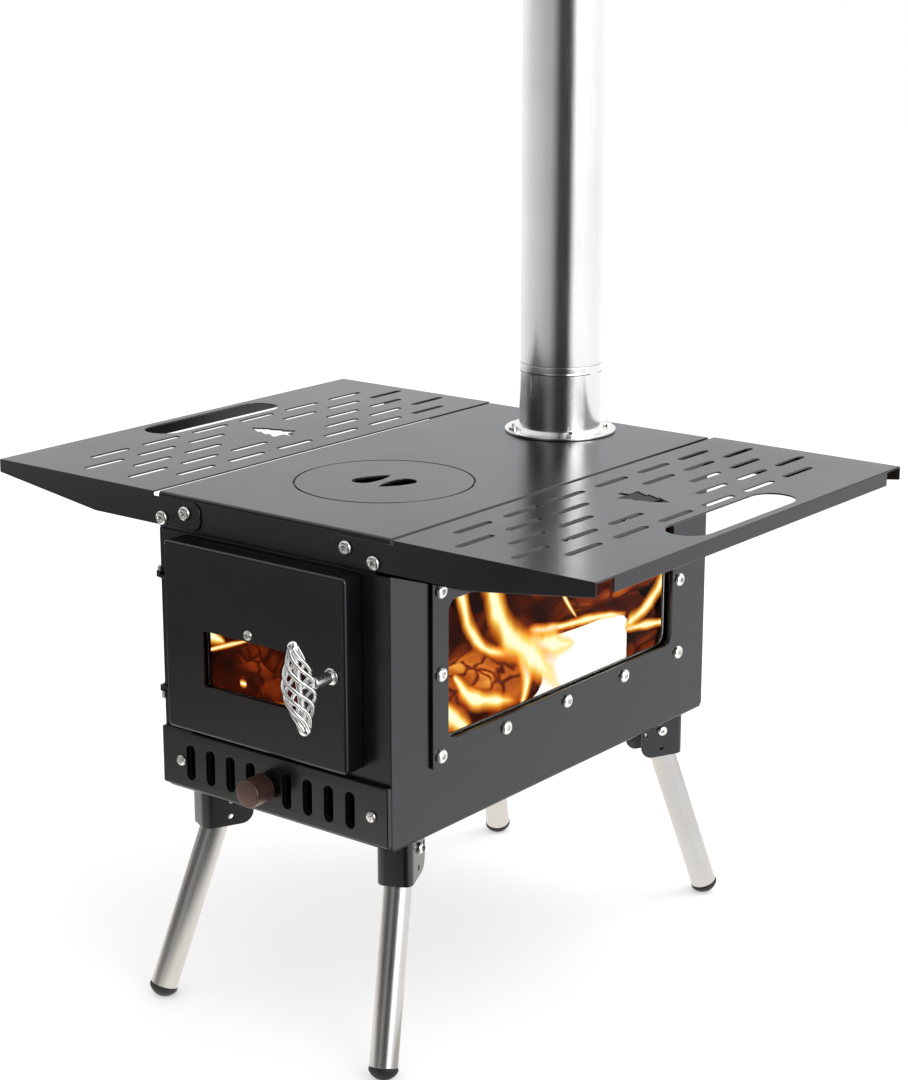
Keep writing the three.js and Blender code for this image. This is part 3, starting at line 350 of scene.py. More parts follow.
def pan(name: str, outer: Outline, holes: Sequence[Outline], front: float, back: float, sheet: float,
        bend: float) -> bpy.types.Object:
    """A shallow sheet pan that faces -Y, open at its back, with a bent rim and holes in its face.

    Args:
        name: The object's name.
        outer: The pan's outline in X and Z.
        holes: Outlines of the holes in its face.
        front: Y of its face.
        back: Y of its open edge.
        sheet: Thickness of the sheet.
        bend: Outer radius of the bend between face and rim.

    Returns:
        The pan as an object.
    """
    bm = bmesh.new()
    turns = [QUARTER * i / 5 for i in range(6)]
    inner_bend = max(bend - sheet, 0.2 * MM)
    outside = [(0.0, back)] + [(bend * (1 - math.cos(a)), front + bend * (1 - math.sin(a))) for a in turns]
    inside = [(sheet, back)] + [
        (sheet + inner_bend * (1 - math.cos(a)), front + sheet + inner_bend * (1 - math.sin(a))) for a in turns]
    skins = [swept(bm, Plane.XZ, directed(outer, True), profile) for profile in (outside, inside)]
    join_rings(bm, [skins[0][0], skins[1][0]])
    soft = sheet * 0.2
    fronts, backs = [skins[0][-1]], [skins[1][-1]]
    walls = [(soft, front), (0.3 * soft, front + 0.3 * soft), (0.0, front + soft), (0.0, front + sheet)]
    for hole in holes:
        rings = swept(bm, Plane.XZ, directed(hole, False), walls)
        fronts.append(rings[0])
        backs.append(rings[-1])
    cap(bm, fronts)
    cap(bm, backs)
    return object_of(name, bm)


def turned(name: str, profile: Sequence[Point], place: Matrix, facets: int = 96, soft: float = 0.0,
           hollow: bool = False) -> bpy.types.Object:
    """Turns a profile about an axis and gives it a UV map that runs round and along it in metres.

    Args:
        name: The object's name.
        profile: (radius, height) points. A solid one starts and ends on the axis.
        place: Where the axis and its origin go.
        facets: Facets in a turn.
        soft: Radius that rounds the profile's corners.
        hollow: True where the profile closes on itself, as a tube's does.

    Returns:
        The turned piece.
    """
    points = list(profile) + ([profile[0]] if hollow else [])
    line = softened(points, soft) if soft else points
    if hollow:
        line = line[:-1]
    bm = bmesh.new()
    uv_layer = bm.loops.layers.uv.new("Along")
    along, lengths = 0.0, []
    for i, (r, h) in enumerate(line):
        along += math.dist((r, h), line[i - 1]) if i else 0.0
        lengths.append(along)
    rings = []
    known: dict[bmesh.types.BMVert, tuple[float, float]] = {}
    for (r, h), length in zip(line, lengths):
        count = facets if r > 1e-6 else 1
        ring = []
        for k in range(count):
            a = FULL_TURN * k / facets
            vert = bm.verts.new(place @ Vector((r * math.cos(a), r * math.sin(a), h)))
            known[vert] = (a, length)
            ring.append(vert)
        rings.append(ring)
    join_rings(bm, rings, closed=hollow)
    widest = max(r for r, _ in line)
    for face in bm.faces:
        angles = [known[loop.vert][0] for loop in face.loops]
        wraps = max(angles) - min(angles) > math.pi
        for loop in face.loops:
            a, length = known[loop.vert]
            loop[uv_layer].uv = ((a + FULL_TURN if wraps and a < math.pi else a) * widest, length)
    return object_of(name, bm)


def copied(name: str, node: str, width: float, weight: Callable[[Vector, Vector], float] | None = None,
           move: Callable[[Vector], Vector] | None = None, angle: float = 40.0, even: bool = False
           ) -> bpy.types.Object:
    """A finished copy of a CAD node: merged, its flat faces joined and its edges rounded.

    Args:
        name: The object's name.
        node: The CAD node to copy.
        width: Radius of its rounded edges.
        weight: Gives an edge between two points a share of that radius, or None for all of it.
        move: Moves a point before the edges are rounded.
        angle: Edges sharper than this, in degrees, are rounded.
        even: True where a face has rows of holes, which need evenly spread triangles between them.

    Returns:
        The copy.
    """
    source = bpy.data.objects[node]
    bm = bmesh.new()
    bm.from_mesh(source.data)
    for vert in bm.verts:
        vert.co = move(vert.co) if move else vert.co
    bmesh.ops.remove_doubles(bm, verts=bm.verts[:], dist=0.02 * MM)
    bmesh.ops.dissolve_limit(bm, angle_limit=math.radians(1), verts=bm.verts[:], edges=bm.edges[:])
    if even:
        bmesh.ops.triangulate(bm, faces=bm.faces[:])
        flat = [e for e in bm.edges if len(e.link_faces) == 2 and e.calc_face_angle(1.0) < math.radians(0.5)]
        bmesh.ops.beautify_fill(bm, faces=bm.faces[:], edges=flat, method="ANGLE")
    weights = bm.edges.layers.float.new("bevel_weight_edge")
    for e in bm.edges:
        if len(e.link_faces) == 2 and e.calc_face_angle(0.0) > math.radians(angle):
            e[weights] = weight(e.verts[0].co, e.verts[1].co) if weight else 1.0
    made = object_with(name, bm)
    bevel = made.modifiers.new("Edges", "BEVEL")
    bevel.limit_method = "WEIGHT"
    bevel.width = width
    bevel.segments = 3
    bevel.use_clamp_overlap = False
    made.modifiers.move(1, 0)
    return made


def aimed(place: Vector, direction: Vector) -> Matrix:
    """A matrix that puts +Z along a direction, with its origin at a place."""
    return Matrix.Translation(place) @ direction.to_track_quat("Z", "Y").to_matrix().to_4x4()


# ---------------------------------------------------------------- finishes
class NodeBuilder:
    """Adds nodes to a tree and links them."""

    def __init__(self, tree: bpy.types.NodeTree) -> None:
        """Keeps the tree.

        Args:
            tree: The tree of a material, of the world or of a Geometry Nodes modifier.
        """
        self.nodes, self.links = tree.nodes, tree.links

    def node(self, kind: str, inputs: dict[str | int, Any] | None = None, **settings: Any) -> bpy.types.Node:
        """Adds a node, sets its properties, and sets or links its inputs."""
        made = self.nodes.new(kind)
        for key, value in settings.items():
            setattr(made, key, value)
        for key, value in (inputs or {}).items():
            if isinstance(value, bpy.types.NodeSocket):
                self.links.new(value, made.inputs[key])
            else:
                made.inputs[key].default_value = value
        return made

    def sum(self, operation: str, first: Any, second: Any = 0.0) -> bpy.types.NodeSocket:
        """The result of one Math node."""
        return self.node("ShaderNodeMath", {0: first, 1: second}, operation=operation).outputs[0]


class ShaderNodes(NodeBuilder):
    """Patterns and mixes that every finish draws on."""

    def noise(self, scale: float, stretch: Triple = (1, 1, 1), source: str = "Object",
              detail: float = 3.0) -> bpy.types.NodeSocket:
        """A noise value on Object coordinates or the UV map, stretched along the axes."""
        where = self.node("ShaderNodeTexCoord").outputs[source]
        turned_by = self.node("ShaderNodeMapping", {"Vector": where, "Scale": stretch})
        numbers = {"Vector": turned_by.outputs[0], "Scale": scale, "Detail": detail}
        return self.node("ShaderNodeTexNoise", numbers).outputs["Fac"]

    def ranged(self, value: bpy.types.NodeSocket, low: float, high: float, start: float = 0.3,
               end: float = 0.7) -> bpy.types.NodeSocket:
        """A value's range from start to end mapped onto low to high."""
        numbers = {"Value": value, "From Min": start, "From Max": end, "To Min": low, "To Max": high}
        return self.node("ShaderNodeMapRange", numbers).outputs["Result"]

    def blend(self, value: bpy.types.NodeSocket, first: Any, second: Any) -> bpy.types.NodeSocket:
        """A mix of two colours, or of two colour sockets, by a value."""
        ends = [c if isinstance(c, bpy.types.NodeSocket) else (*c, 1) for c in (first, second)]
        return self.node("ShaderNodeMix", {0: value, 6: ends[0], 7: ends[1]}, data_type="RGBA").outputs[2]

    def ramp(self, value: bpy.types.NodeSocket, stops: Sequence[tuple[float, Triple]]) -> bpy.types.NodeSocket:
        """A colour ramp over a value from 0 to 1."""
        made = self.node("ShaderNodeValToRGB", {0: value})
        elements = made.color_ramp.elements
        while len(elements) < len(stops):
            elements.new(0.5)
        for element, (position, color) in zip(elements, stops):
            element.position = position
            element.color = (*color, 1)
        return made.outputs[0]

    def straight_sight(self) -> bpy.types.NodeSocket:
        """1 for what the camera sees itself or through glass, and 0 for light that bounces."""
        path = self.node("ShaderNodeLightPath")
        return self.sum("MAXIMUM", path.outputs["Is Camera Ray"], path.outputs["Is Transmission Ray"])

    def ends_in(self, surface: bpy.types.NodeSocket, kind: str = "ShaderNodeOutputMaterial") -> None:
        """Links a shader to a new output node."""
        self.links.new(surface, self.node(kind).inputs[0])


class Shader(ShaderNodes):
    """Builds a material's nodes around one Principled shader, from Object coordinates."""

    def __init__(self, name: str, **settings: Any) -> None:
        """Makes the material.

        Args:
            name: The material's name.
            settings: Values of the Principled shader's own sockets, with _ for a space.
        """
        self.material = bpy.data.materials.new(name)
        self.material.use_nodes = True
        super().__init__(self.material.node_tree)
        self.surface = self.nodes["Principled BSDF"]
        for key, value in settings.items():
            self.surface.inputs[key.replace("_", " ")].default_value = value

    def bump(self, height: bpy.types.NodeSocket, strength: float, distance: float) -> None:
        """Raises the surface by a height value."""
        made = self.node("ShaderNodeBump", {"Height": height, "Strength": strength, "Distance": distance})
        self.links.new(made.outputs[0], self.surface.inputs["Normal"])

    def to(self, value: bpy.types.NodeSocket, socket: str) -> None:
        """Links a value to one of the Principled shader's sockets."""
        self.links.new(value, self.surface.inputs[socket])


class Glow(ShaderNodes):
    """A stage material that shines only where it is seen, so that the stove's own slots and holes stay dark."""

    def __init__(self, name: str) -> None:
        """Makes the bare material.

        Args:
            name: The material's name.
        """
        self.material = bpy.data.materials.new(name)
        self.material.use_nodes = True
        super().__init__(self.material.node_tree)
        self.nodes.clear()

    def light(self, color: Any, strength: float = 1.0, spill: float = 0.12) -> bpy.types.NodeSocket:
        """An emission of full strength where it is seen, and of a share of it elsewhere.

        Args:
            color: A colour or a colour socket.
            strength: Its strength.
            spill: The share that reaches other surfaces.

        Returns:
            The emission shader.
        """
        seen = self.ranged(self.straight_sight(), strength * spill, strength, 0.0, 1.0)
        return self.node("ShaderNodeEmission", {"Color": color, "Strength": seen}).outputs[0]


@dataclass(frozen=True)
class Pattern:
    """A noise pattern on Object coordinates or the UV map."""

    scale: float
    stretch: Triple = (1, 1, 1)
    source: str = "Object"
    detail: float = 3.0

    def on(self, shader: ShaderNodes) -> bpy.types.NodeSocket:
        """Adds the pattern to a material."""
        return shader.noise(self.scale, self.stretch, self.source, self.detail)


@dataclass(frozen=True)
class Finish:
    """A surface whose colour, roughness and relief follow a noise pattern.

    The pattern runs from the first colour to the second over its span. The relief is the bump's strength and
    its depth in metres; it may have a finer grain of its own. Clouds may be added to what shades the colour.
    """

    name: str
    color: Triple
    second: Triple
    roughness: Point
    pattern: Pattern
    relief: Point
    span: Point = (0.3, 0.7)
    grain: Pattern | None = None
    clouds: Pattern | None = None
    metallic: float = 1.0
    ior: float = 1.5

    def material(self) -> bpy.types.Material:
        """Builds the material."""
        shader = Shader(self.name, Metallic=self.metallic, IOR=self.ior)
        lines = self.pattern.on(shader)
        both = shader.sum("ADD", lines, self.clouds.on(shader)) if self.clouds else lines
        shader.to(shader.blend(shader.ranged(both, 0, 1, *self.span), self.color, self.second), "Base Color")
        shader.to(shader.ranged(lines, *self.roughness), "Roughness")
        shader.bump(self.grain.on(shader) if self.grain else lines, *self.relief)
        return shader.material


def brushed(name: str, streak: Triple, color: Triple, roughness: Point) -> Finish:
    """Brushed stainless sheet or tube, its grain along the piece's UV map."""
    return Finish(name, streak, color, roughness, Pattern(26, (90, 1.2, 1), "UV", 6), (0.06, 0.05 * MM),
                  (0.75, 1.3), clouds=Pattern(14, detail=2))


# Satin heat-proof powder coat with a fine grain and faint wipe marks.
POWDER_COAT = Finish("satin_powder_coat", (0.0033, 0.0034, 0.0044), (0.0064, 0.0065, 0.0076), (0.22, 0.28),
                     Pattern(9, (1, 1, 2.2), detail=5), (0.12, 0.05 * MM), grain=Pattern(2600, detail=2),
                     metallic=0.0, ior=1.57)
BRUSHED_STEEL = brushed("brushed_stainless", (0.78, 0.77, 0.755), (0.9, 0.89, 0.88), (0.13, 0.22))
LEG_STEEL = brushed("satin_leg_tube", (0.54, 0.525, 0.505), (0.62, 0.605, 0.585), (0.24, 0.34))
# Bright screws, pins and small turned pieces.
TURNED_STEEL = Finish("turned_steel", (0.93, 0.92, 0.89), (0.8, 0.79, 0.765), (0.18, 0.3),
                      Pattern(1400, detail=2), (0.08, 0.05 * MM))
# Bright plating on bent wire, a little uneven.
PLATED_WIRE = Finish("plated_wire", (0.97, 0.965, 0.95), (0.88, 0.875, 0.86), (0.14, 0.28),
                     Pattern(420, detail=1), (0.1, 0.1 * MM))
# Matt black rubber, dusty where it meets the ground.
MOULDED_RUBBER = Finish("moulded_rubber", (0.012, 0.012, 0.012), (0.04, 0.038, 0.035), (0.42, 0.62),
                        Pattern(160, detail=5), (0.2, 0.04 * MM), (0.5, 0.75), Pattern(3000, detail=1),
                        metallic=0.0, ior=1.45)
# Bronze-brown anodised metal with fine turning marks.
ANODISED_KNOB = Finish("bronze_anodised", (0.135, 0.078, 0.062), (0.1, 0.055, 0.044), (0.3, 0.42),
                       Pattern(24, (1, 90, 1), "UV"), (0.05, 0.05 * MM), metallic=0.55)


@dataclass(frozen=True)
class GlassRope:
    """Knitted glass-fibre rope, pale or blackened."""

    name: str
    light: Triple
    dark: Triple

    def material(self) -> bpy.types.Material:
        """Builds the material."""
        shader = Shader(self.name, Roughness=0.92)
        where = shader.node("ShaderNodeTexCoord").outputs["Object"]
        knit = shader.node("ShaderNodeTexVoronoi", {"Vector": where, "Scale": 900.0}, feature="SMOOTH_F1")
        cells = shader.ranged(knit.outputs["Distance"], 0, 1, 0.1, 0.7)
        shader.to(shader.blend(cells, self.light, self.dark), "Base Color")
        shader.bump(cells, -0.6, 0.3 * MM)
        return shader.material


@dataclass(frozen=True)
class ClearGlass:
    """Clear heat-proof glass with a coat against reflections and a faint haze."""

    tint: tuple[float, float, float, float] = (0.97, 0.98, 0.97, 1)
    ior: float = 1.06

    def material(self) -> bpy.types.Material:
        """Builds the material."""
        shader = Shader("clear_glass", Base_Color=self.tint, IOR=self.ior, Transmission_Weight=1.0)
        haze = shader.noise(30, detail=4)
        shader.to(shader.ranged(haze, 0.0, 0.015), "Roughness")
        return shader.material


# ---------------------------------------------------------------- repeats
class Repeat(NodeBuilder):
    """A Geometry Nodes tree with named inputs, run once and turned into a plain mesh."""

    def __init__(self, name: str, inputs: dict[str, tuple[str, Any]]) -> None:
        """Makes the tree.

        Args:
            name: The tree's name.
            inputs: Socket kind and value of each named input.
        """
        self.tree = bpy.data.node_groups.new(name, "GeometryNodeTree")
        super().__init__(self.tree)
        face = self.tree.interface
        face.new_socket("Geometry", in_out="INPUT", socket_type="NodeSocketGeometry")
        self.values = {}
        for label, (kind, value) in inputs.items():
            socket = face.new_socket(label, in_out="INPUT", socket_type=f"NodeSocket{kind}")
            self.values[socket.identifier] = value
        face.new_socket("Geometry", in_out="OUTPUT", socket_type="NodeSocketGeometry")
        self.given = self.nodes.new("NodeGroupInput").outputs
        self.end = self.nodes.new("NodeGroupOutput")

    def resampled(self, curve: bpy.types.NodeSocket, count: int) -> bpy.types.NodeSocket:
        """A curve with a number of evenly spaced points."""
        return self.node("GeometryNodeResampleCurve", {"Curve": curve, "Count": count}).outputs[0]

    def tube(self, curve: bpy.types.NodeSocket, radius: bpy.types.NodeSocket, facets: int,
             capped: bool = False) -> bpy.types.NodeSocket:
        """A round rod along a curve."""
        section = self.node("GeometryNodeCurvePrimitiveCircle", {"Radius": radius, "Resolution": facets})
        return self.node("GeometryNodeCurveToMesh", {
            "Curve": curve, "Profile Curve": section.outputs[0], "Fill Caps": capped}).outputs[0]

    def made(self, name: str, geometry: bpy.types.NodeSocket, material: bpy.types.Material,
             points: bpy.types.Mesh | None = None) -> bpy.types.Object:
        """Ends the tree, runs it on a mesh of points and returns the plain result.

        Args:
            name: The finished object's name.
            geometry: What the tree has built.
            material: Set on everything in it.
            points: The mesh that the tree starts from.

        Returns:
            A plain mesh object without modifiers that hold nodes.
        """
        real = self.node("GeometryNodeRealizeInstances", {0: geometry})
        smooth = self.node("GeometryNodeSetShadeSmooth", {0: real.outputs[0]})
        dressed = self.node("GeometryNodeSetMaterial", {"Geometry": smooth.outputs[0], "Material": material})
        self.links.new(dressed.outputs[0], self.end.inputs[0])
        carrier = linked("carrier", points or bpy.data.meshes.new("carrier"))
        modifier = carrier.modifiers.new("Repeat", "NODES")
        modifier.node_group = self.tree
        for identifier, value in self.values.items():
            modifier[identifier] = value
        mesh = evaluated(carrier)
        bpy.data.objects.remove(carrier)
        mesh.name = name
        return object_with(name, mesh)


@dataclass
class ScrewHead:
    """A button or pan head with its recess, its seat at z = 0 and its head along +Z."""

    radius: float = 4.9 * MM
    rise: float = 2.8 * MM
    recess: Recess = Recess.HEXAGON
    socket: float = 1.65 * MM
    deep: float = 1.9 * MM

    def mesh(self) -> bpy.types.Object:
        """Builds one head.

        Returns:
            The head as an object that the repeats place.
        """
        flat = self.socket * 1.45
        dome = [(flat, self.rise)] + [
            (flat + (self.radius - flat) * math.sin(a), self.rise * (0.25 + 0.75 * math.cos(a)))
            for a in (QUARTER * i / 7 for i in range(1, 8))]
        profile = [(0.0, self.rise - self.deep)] + [(0.0, self.rise)] + dome + [(self.radius, 0.0), (0.0, 0.0)]
        head = turned("head", profile[1:], Matrix.Identity(4), 40)
        cutters = []
        top = self.rise + MM
        if self.recess is Recess.HEXAGON:
            key = [(0.0, self.rise - self.deep), (self.socket, self.rise - self.deep + 0.3 * MM),
                   (self.socket, top), (0.0, top)]
            cutters.append(turned("key", key, Matrix.Identity(4), 6))
        else:
            for turn in (0.0, QUARTER):
                bm = bmesh.new()
                bmesh.ops.create_cube(bm, size=1)
                size = Matrix.Diagonal((2.1 * self.socket, 0.62 * self.socket, 2 * self.deep, 1))
                bm.transform(Matrix.Translation((0, 0, self.rise)) @ Matrix.Rotation(turn, 4, "Z") @ size)
                cutters.append(object_of("key", bm))
        return cut(head, cutters)


def cut(piece: bpy.types.Object, cutters: Sequence[bpy.types.Object]) -> bpy.types.Object:
    """Cuts other objects out of a piece and removes them.

    Args:
        piece: The object to cut.
        cutters: What is cut out of it.

    Returns:
        The same object with its cut mesh.
    """
    for cutter in cutters:
        modifier = piece.modifiers.new("Cut", "BOOLEAN")
        modifier.object = cutter
        modifier.solver = "EXACT"
    mesh = evaluated(piece)
    for modifier in [m for m in piece.modifiers if m.type == "BOOLEAN"]:
        piece.modifiers.remove(modifier)
    for cutter in cutters:
        bpy.data.objects.remove(cutter)
    piece.data = shaded(mesh)
    return piece


def screws(name: str, head: ScrewHead, seats: Seats, material: bpy.types.Material,
           seed: int = 3) -> bpy.types.Object:
    """Sets one screw head on each seat, each turned by its own random angle.

    Args:
        name: The finished object's name.
        head: The head to repeat.
        seats: Place and outward direction of each head.
        material: The screws' finish.
        seed: Seed of the random turns.

    Returns:
        All the heads as one piece.
    """
    shape = head.mesh()
    points = bpy.data.meshes.new("seats")
    points.from_pydata([tuple(place) for place, _ in seats], [], [])
    aim = points.attributes.new("aim", "FLOAT_VECTOR", "POINT")
    aim.data.foreach_set("vector", [x for _, out in seats for x in out])
    repeat = Repeat("screws", {"Head": ("Object", shape), "Size": ("Float", 1.0), "Turn Seed": ("Int", seed)})
    info = repeat.node("GeometryNodeObjectInfo", {"Object": repeat.given["Head"]})
    along = repeat.node("GeometryNodeInputNamedAttribute", {"Name": "aim"}, data_type="FLOAT_VECTOR")
    spin = repeat.node("FunctionNodeRandomValue", {"Seed": repeat.given["Turn Seed"]}, data_type="FLOAT")
    angle = repeat.sum("MULTIPLY", spin.outputs[1], FULL_TURN)
    first = repeat.node("FunctionNodeAxisAngleToRotation", {"Axis": UP, "Angle": angle})
    turn = repeat.node("FunctionNodeAlignRotationToVector",
                       {"Rotation": first.outputs[0], "Vector": along.outputs[0]}, axis="Z")
    placed = repeat.node("GeometryNodeInstanceOnPoints", {
        "Points": repeat.given["Geometry"], "Instance": info.outputs["Geometry"],
        "Rotation": turn.outputs[0], "Scale": repeat.given["Size"]})
    made = repeat.made(name, placed.outputs[0], material, points)
    bpy.data.objects.remove(shape)
    return made


# ---------------------------------------------------------------- workshop
class Workshop:
    """Holds the frame and the finishes, and puts pieces in their place."""

    def __init__(self) -> None:
        """Loads the frame, keeps the CAD box and makes the finishes."""
        self.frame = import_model()
        self.cad_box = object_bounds()
        self.finish = {
            Slot.COAT: POWDER_COAT.material(),
            Slot.STEEL: BRUSHED_STEEL.material(),
            Slot.PLATED: PLATED_WIRE.material(),
            Slot.RUBBER: MOULDED_RUBBER.material(),
            Slot.KNOB: ANODISED_KNOB.material(),
            Slot.ROPE: GlassRope("pale_glass_rope", (0.5, 0.47, 0.4), (0.22, 0.2, 0.17)).material(),
            Slot.GLASS: ClearGlass().material(),
        }
        self.small_steel = TURNED_STEEL.material()
        self.leg_steel = LEG_STEEL.material()
        self.dark_rope = GlassRope("black_glass_rope", (0.03, 0.029, 0.028), (0.008, 0.008, 0.008)).material()

    def joint(self, name: str) -> dict[str, Any]:
        """The frame's joint of that name."""
        return next(j for j in self.frame["joints"] if j["name"] == name)

    def place(self, piece: bpy.types.Object, body: Body | str, slot: Slot, *nodes: str,
              material: bpy.types.Material | None = None) -> bpy.types.Object:
        """Gives a finished piece its finish, its body and the CAD nodes that it stands for.

        Args:
            piece: The finished piece.
            body: The body that it rides on.
            slot: The record's slot of its finish.
            nodes: CAD nodes that it stands for.
            material: A finish other than the slot's own.

        Returns:
            The same piece.
        """
        if not piece.data.materials:
            piece.data.materials.append(None)
        for i in range(len(piece.data.materials)):
            piece.data.materials[i] = material or self.finish[slot]
        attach(piece, body.value if isinstance(body, Body) else body)
        if nodes:
            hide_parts(*nodes)
        LOG.info("%s rides on %s", piece.name, body)
        return piece

    def fasten(self, name: str, head: ScrewHead, seats: Seats, body: Body, *nodes: str, seed: int = 3) -> None:
        """Sets a screw head on each seat, in the stead of CAD nodes."""
        heads = screws(name, head, seats, self.small_steel, seed)
        self.place(heads, body, Slot.STEEL, *nodes, material=self.small_steel)

    def dress(self, node: str, body: Body | str, slot: Slot, width: float, **options: Any) -> bpy.types.Object:
        """Places a finished copy of a CAD node in that node's stead."""
        material = options.pop("material", None)
        piece = copied(f"{node}_dressed", node, width, **options)
        return self.place(piece, body, slot, node, material=material)


def middle(node: str) -> Vector:
    """Middle of a CAD node's box."""
    low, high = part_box(node)
    return (low + high) / 2


# ---------------------------------------------------------------- sub-assemblies
@dataclass
class Firebox:
    """The folded shell with its front and back plates and what stands inside."""

    sheet: float = 2.0 * MM
    bend: float = 2.0 * MM
    plate_edge: float = 0.9 * MM
    inner_edge: float = 0.3 * MM

    def build(self, shop: Workshop) -> None:
        """Dresses the body's sheets."""
        front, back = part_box("front_plate")[1].y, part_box("back_plate")[0].y
        low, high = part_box("firebox_shell")
        wide = high.x - 0.1 * MM

        def shell_weight(a: Vector, b: Vector) -> float:
            """Rounds the two long bends under the body."""
            return 1.0 if all(abs(p.x) > wide and p.z < low.z + MM for p in (a, b)) else 0.0

        def close_seam(p: Vector) -> Vector:
            """Takes the shell's ends up to the plates."""
            if p.y < low.y + 0.1 * MM:
                return Vector((p.x, front - self.sheet + self.bend, p.z))
            return Vector((p.x, back, p.z)) if p.y > high.y - 0.1 * MM else p

        shop.dress("firebox_shell", Body.STOVE, Slot.COAT, self.bend, weight=shell_weight, move=close_seam)
        for node in ("front_plate", "back_plate"):
            shop.dress(node, Body.STOVE, Slot.COAT, self.plate_edge, weight=self.plate_weight())
        for node in ("fire_grate", "smoke_baffle", "lid_seat"):
            shop.dress(node, Body.STOVE, Slot.COAT, self.inner_edge)

    def plate_weight(self) -> Callable[[Vector, Vector], float]:
        """Weights that round an end plate's outer edges most.

        Returns:
            The weight of an edge between two points.
        """
        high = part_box("firebox_shell")[1]
        wide = high.x - 0.1 * MM
        shell = middle("firebox_shell").y

        def weight(a: Vector, b: Vector) -> float:
            """Full on the outer side edges and small elsewhere."""
            inward = [abs(p.y - shell) < (high.y - shell) + 0.5 * MM for p in (a, b)]
            sideways = [abs(p.x) > wide for p in (a, b)]
            if all(sideways):
                return 0.0 if all(inward) else 1.0
            return 0.0 if any(inward) and any(sideways) else 0.3

        return weight


@dataclass
class CookTop:
    """The cooking plate with its folded skirts, and the round lid flush in it."""

    bend: float = 2.6 * MM
    sheet: float = 2.0 * MM
    ring: float = 1.2 * MM
    rim: float = 0.5 * MM
    side_edge: float = 0.55 * MM
    leaf_length: float = 31 * MM
    leaf_round: float = 7.8 * MM
    leaf_offset: float = 10.6 * MM
    leaf_lean: float = 13.0
    leaf_pull: float = 0.3
    reamed: float = 29.3 * MM

    def build(self, shop: Workshop) -> None:
        """Builds the plate and the lid."""
        shop.place(self.plate(), Body.STOVE, Slot.COAT, "top_plate")
        shop.place(self.lid(), Body.LID, Slot.COAT, "cooking_lid")

    def lid_place(self) -> tuple[Vector, float]:
        """The lid's middle and radius."""
        low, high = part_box("cooking_lid")
        return (low + high) / 2, (high.x - low.x) / 2

    def plate(self) -> bpy.types.Object:
        """The plate, bent down at the front and the back, with the lid's hole and the flue's hole.

        Returns:
            The cooking plate.
        """
        low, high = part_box("top_plate")
        s, r = self.sheet, self.bend
        front, back = (low.y + r, high.z - r), (high.y - r, high.z - r)
        outer = [(low.y, low.z)] + arc(front, r, math.pi, QUARTER, 6) + arc(back, r, QUARTER, 0, 6)
        outer += [(high.y, low.z), (high.y - s, low.z)] + arc(back, r - s, 0, QUARTER, 3)
        outer += arc(front, r - s, QUARTER, math.pi, 3) + [(low.y + s, low.z)]
        piece = plate("top_plate_dressed", Plane.YZ, outer, [], low.x, high.x, self.side_edge)
        centre, radius = self.lid_place()
        flue = middle("flue_collar")
        holes = [(centre, radius + self.ring), (flue, self.reamed)]
        cutters = []
        top, rim, beyond = high.z, self.rim, 10 * MM
        for at, r in holes:
            wall = [(0.0, -beyond), (r, -beyond), (r, top - rim), (r + rim * 0.3, top - rim * 0.3),
                    (r + rim, top), (r + rim, top + beyond), (0.0, top + beyond)]
            cutters.append(turned("hole", wall, Matrix.Translation((at.x, at.y, 0)), 144))
        return cut(piece, cutters)

    def lid(self) -> bpy.types.Object:
        """The flat round lid with its pair of leaf-shaped lifting holes.

        Returns:
            The lid.
        """
        low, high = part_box("cooking_lid")
        centre, radius = self.lid_place()
        r, half = self.leaf_round, self.leaf_length / 2
        side = curved((0.0, half), (-r, half * self.leaf_pull), (-r, r - half), 10)
        foot = arc((0.0, r - half), r, math.pi, FULL_TURN, 10)
        leaf = side + foot[1:] + [(-x, y) for x, y in side[1:-1]][::-1]
        holes = []
        for turn in (0.0, math.pi):
            lean = Matrix.Rotation(-math.radians(self.leaf_lean), 2)
            spin = Matrix.Rotation(turn, 2)
            shift = Vector((-self.leaf_offset, 0))
            holes.append([tuple(spin @ (lean @ Vector(p) + shift) + centre.xy) for p in leaf])
        rim = circle(tuple(centre.xy), radius)
        return plate("cooking_lid_dressed", Plane.XY, rim, holes, low.z, high.z, self.rim)


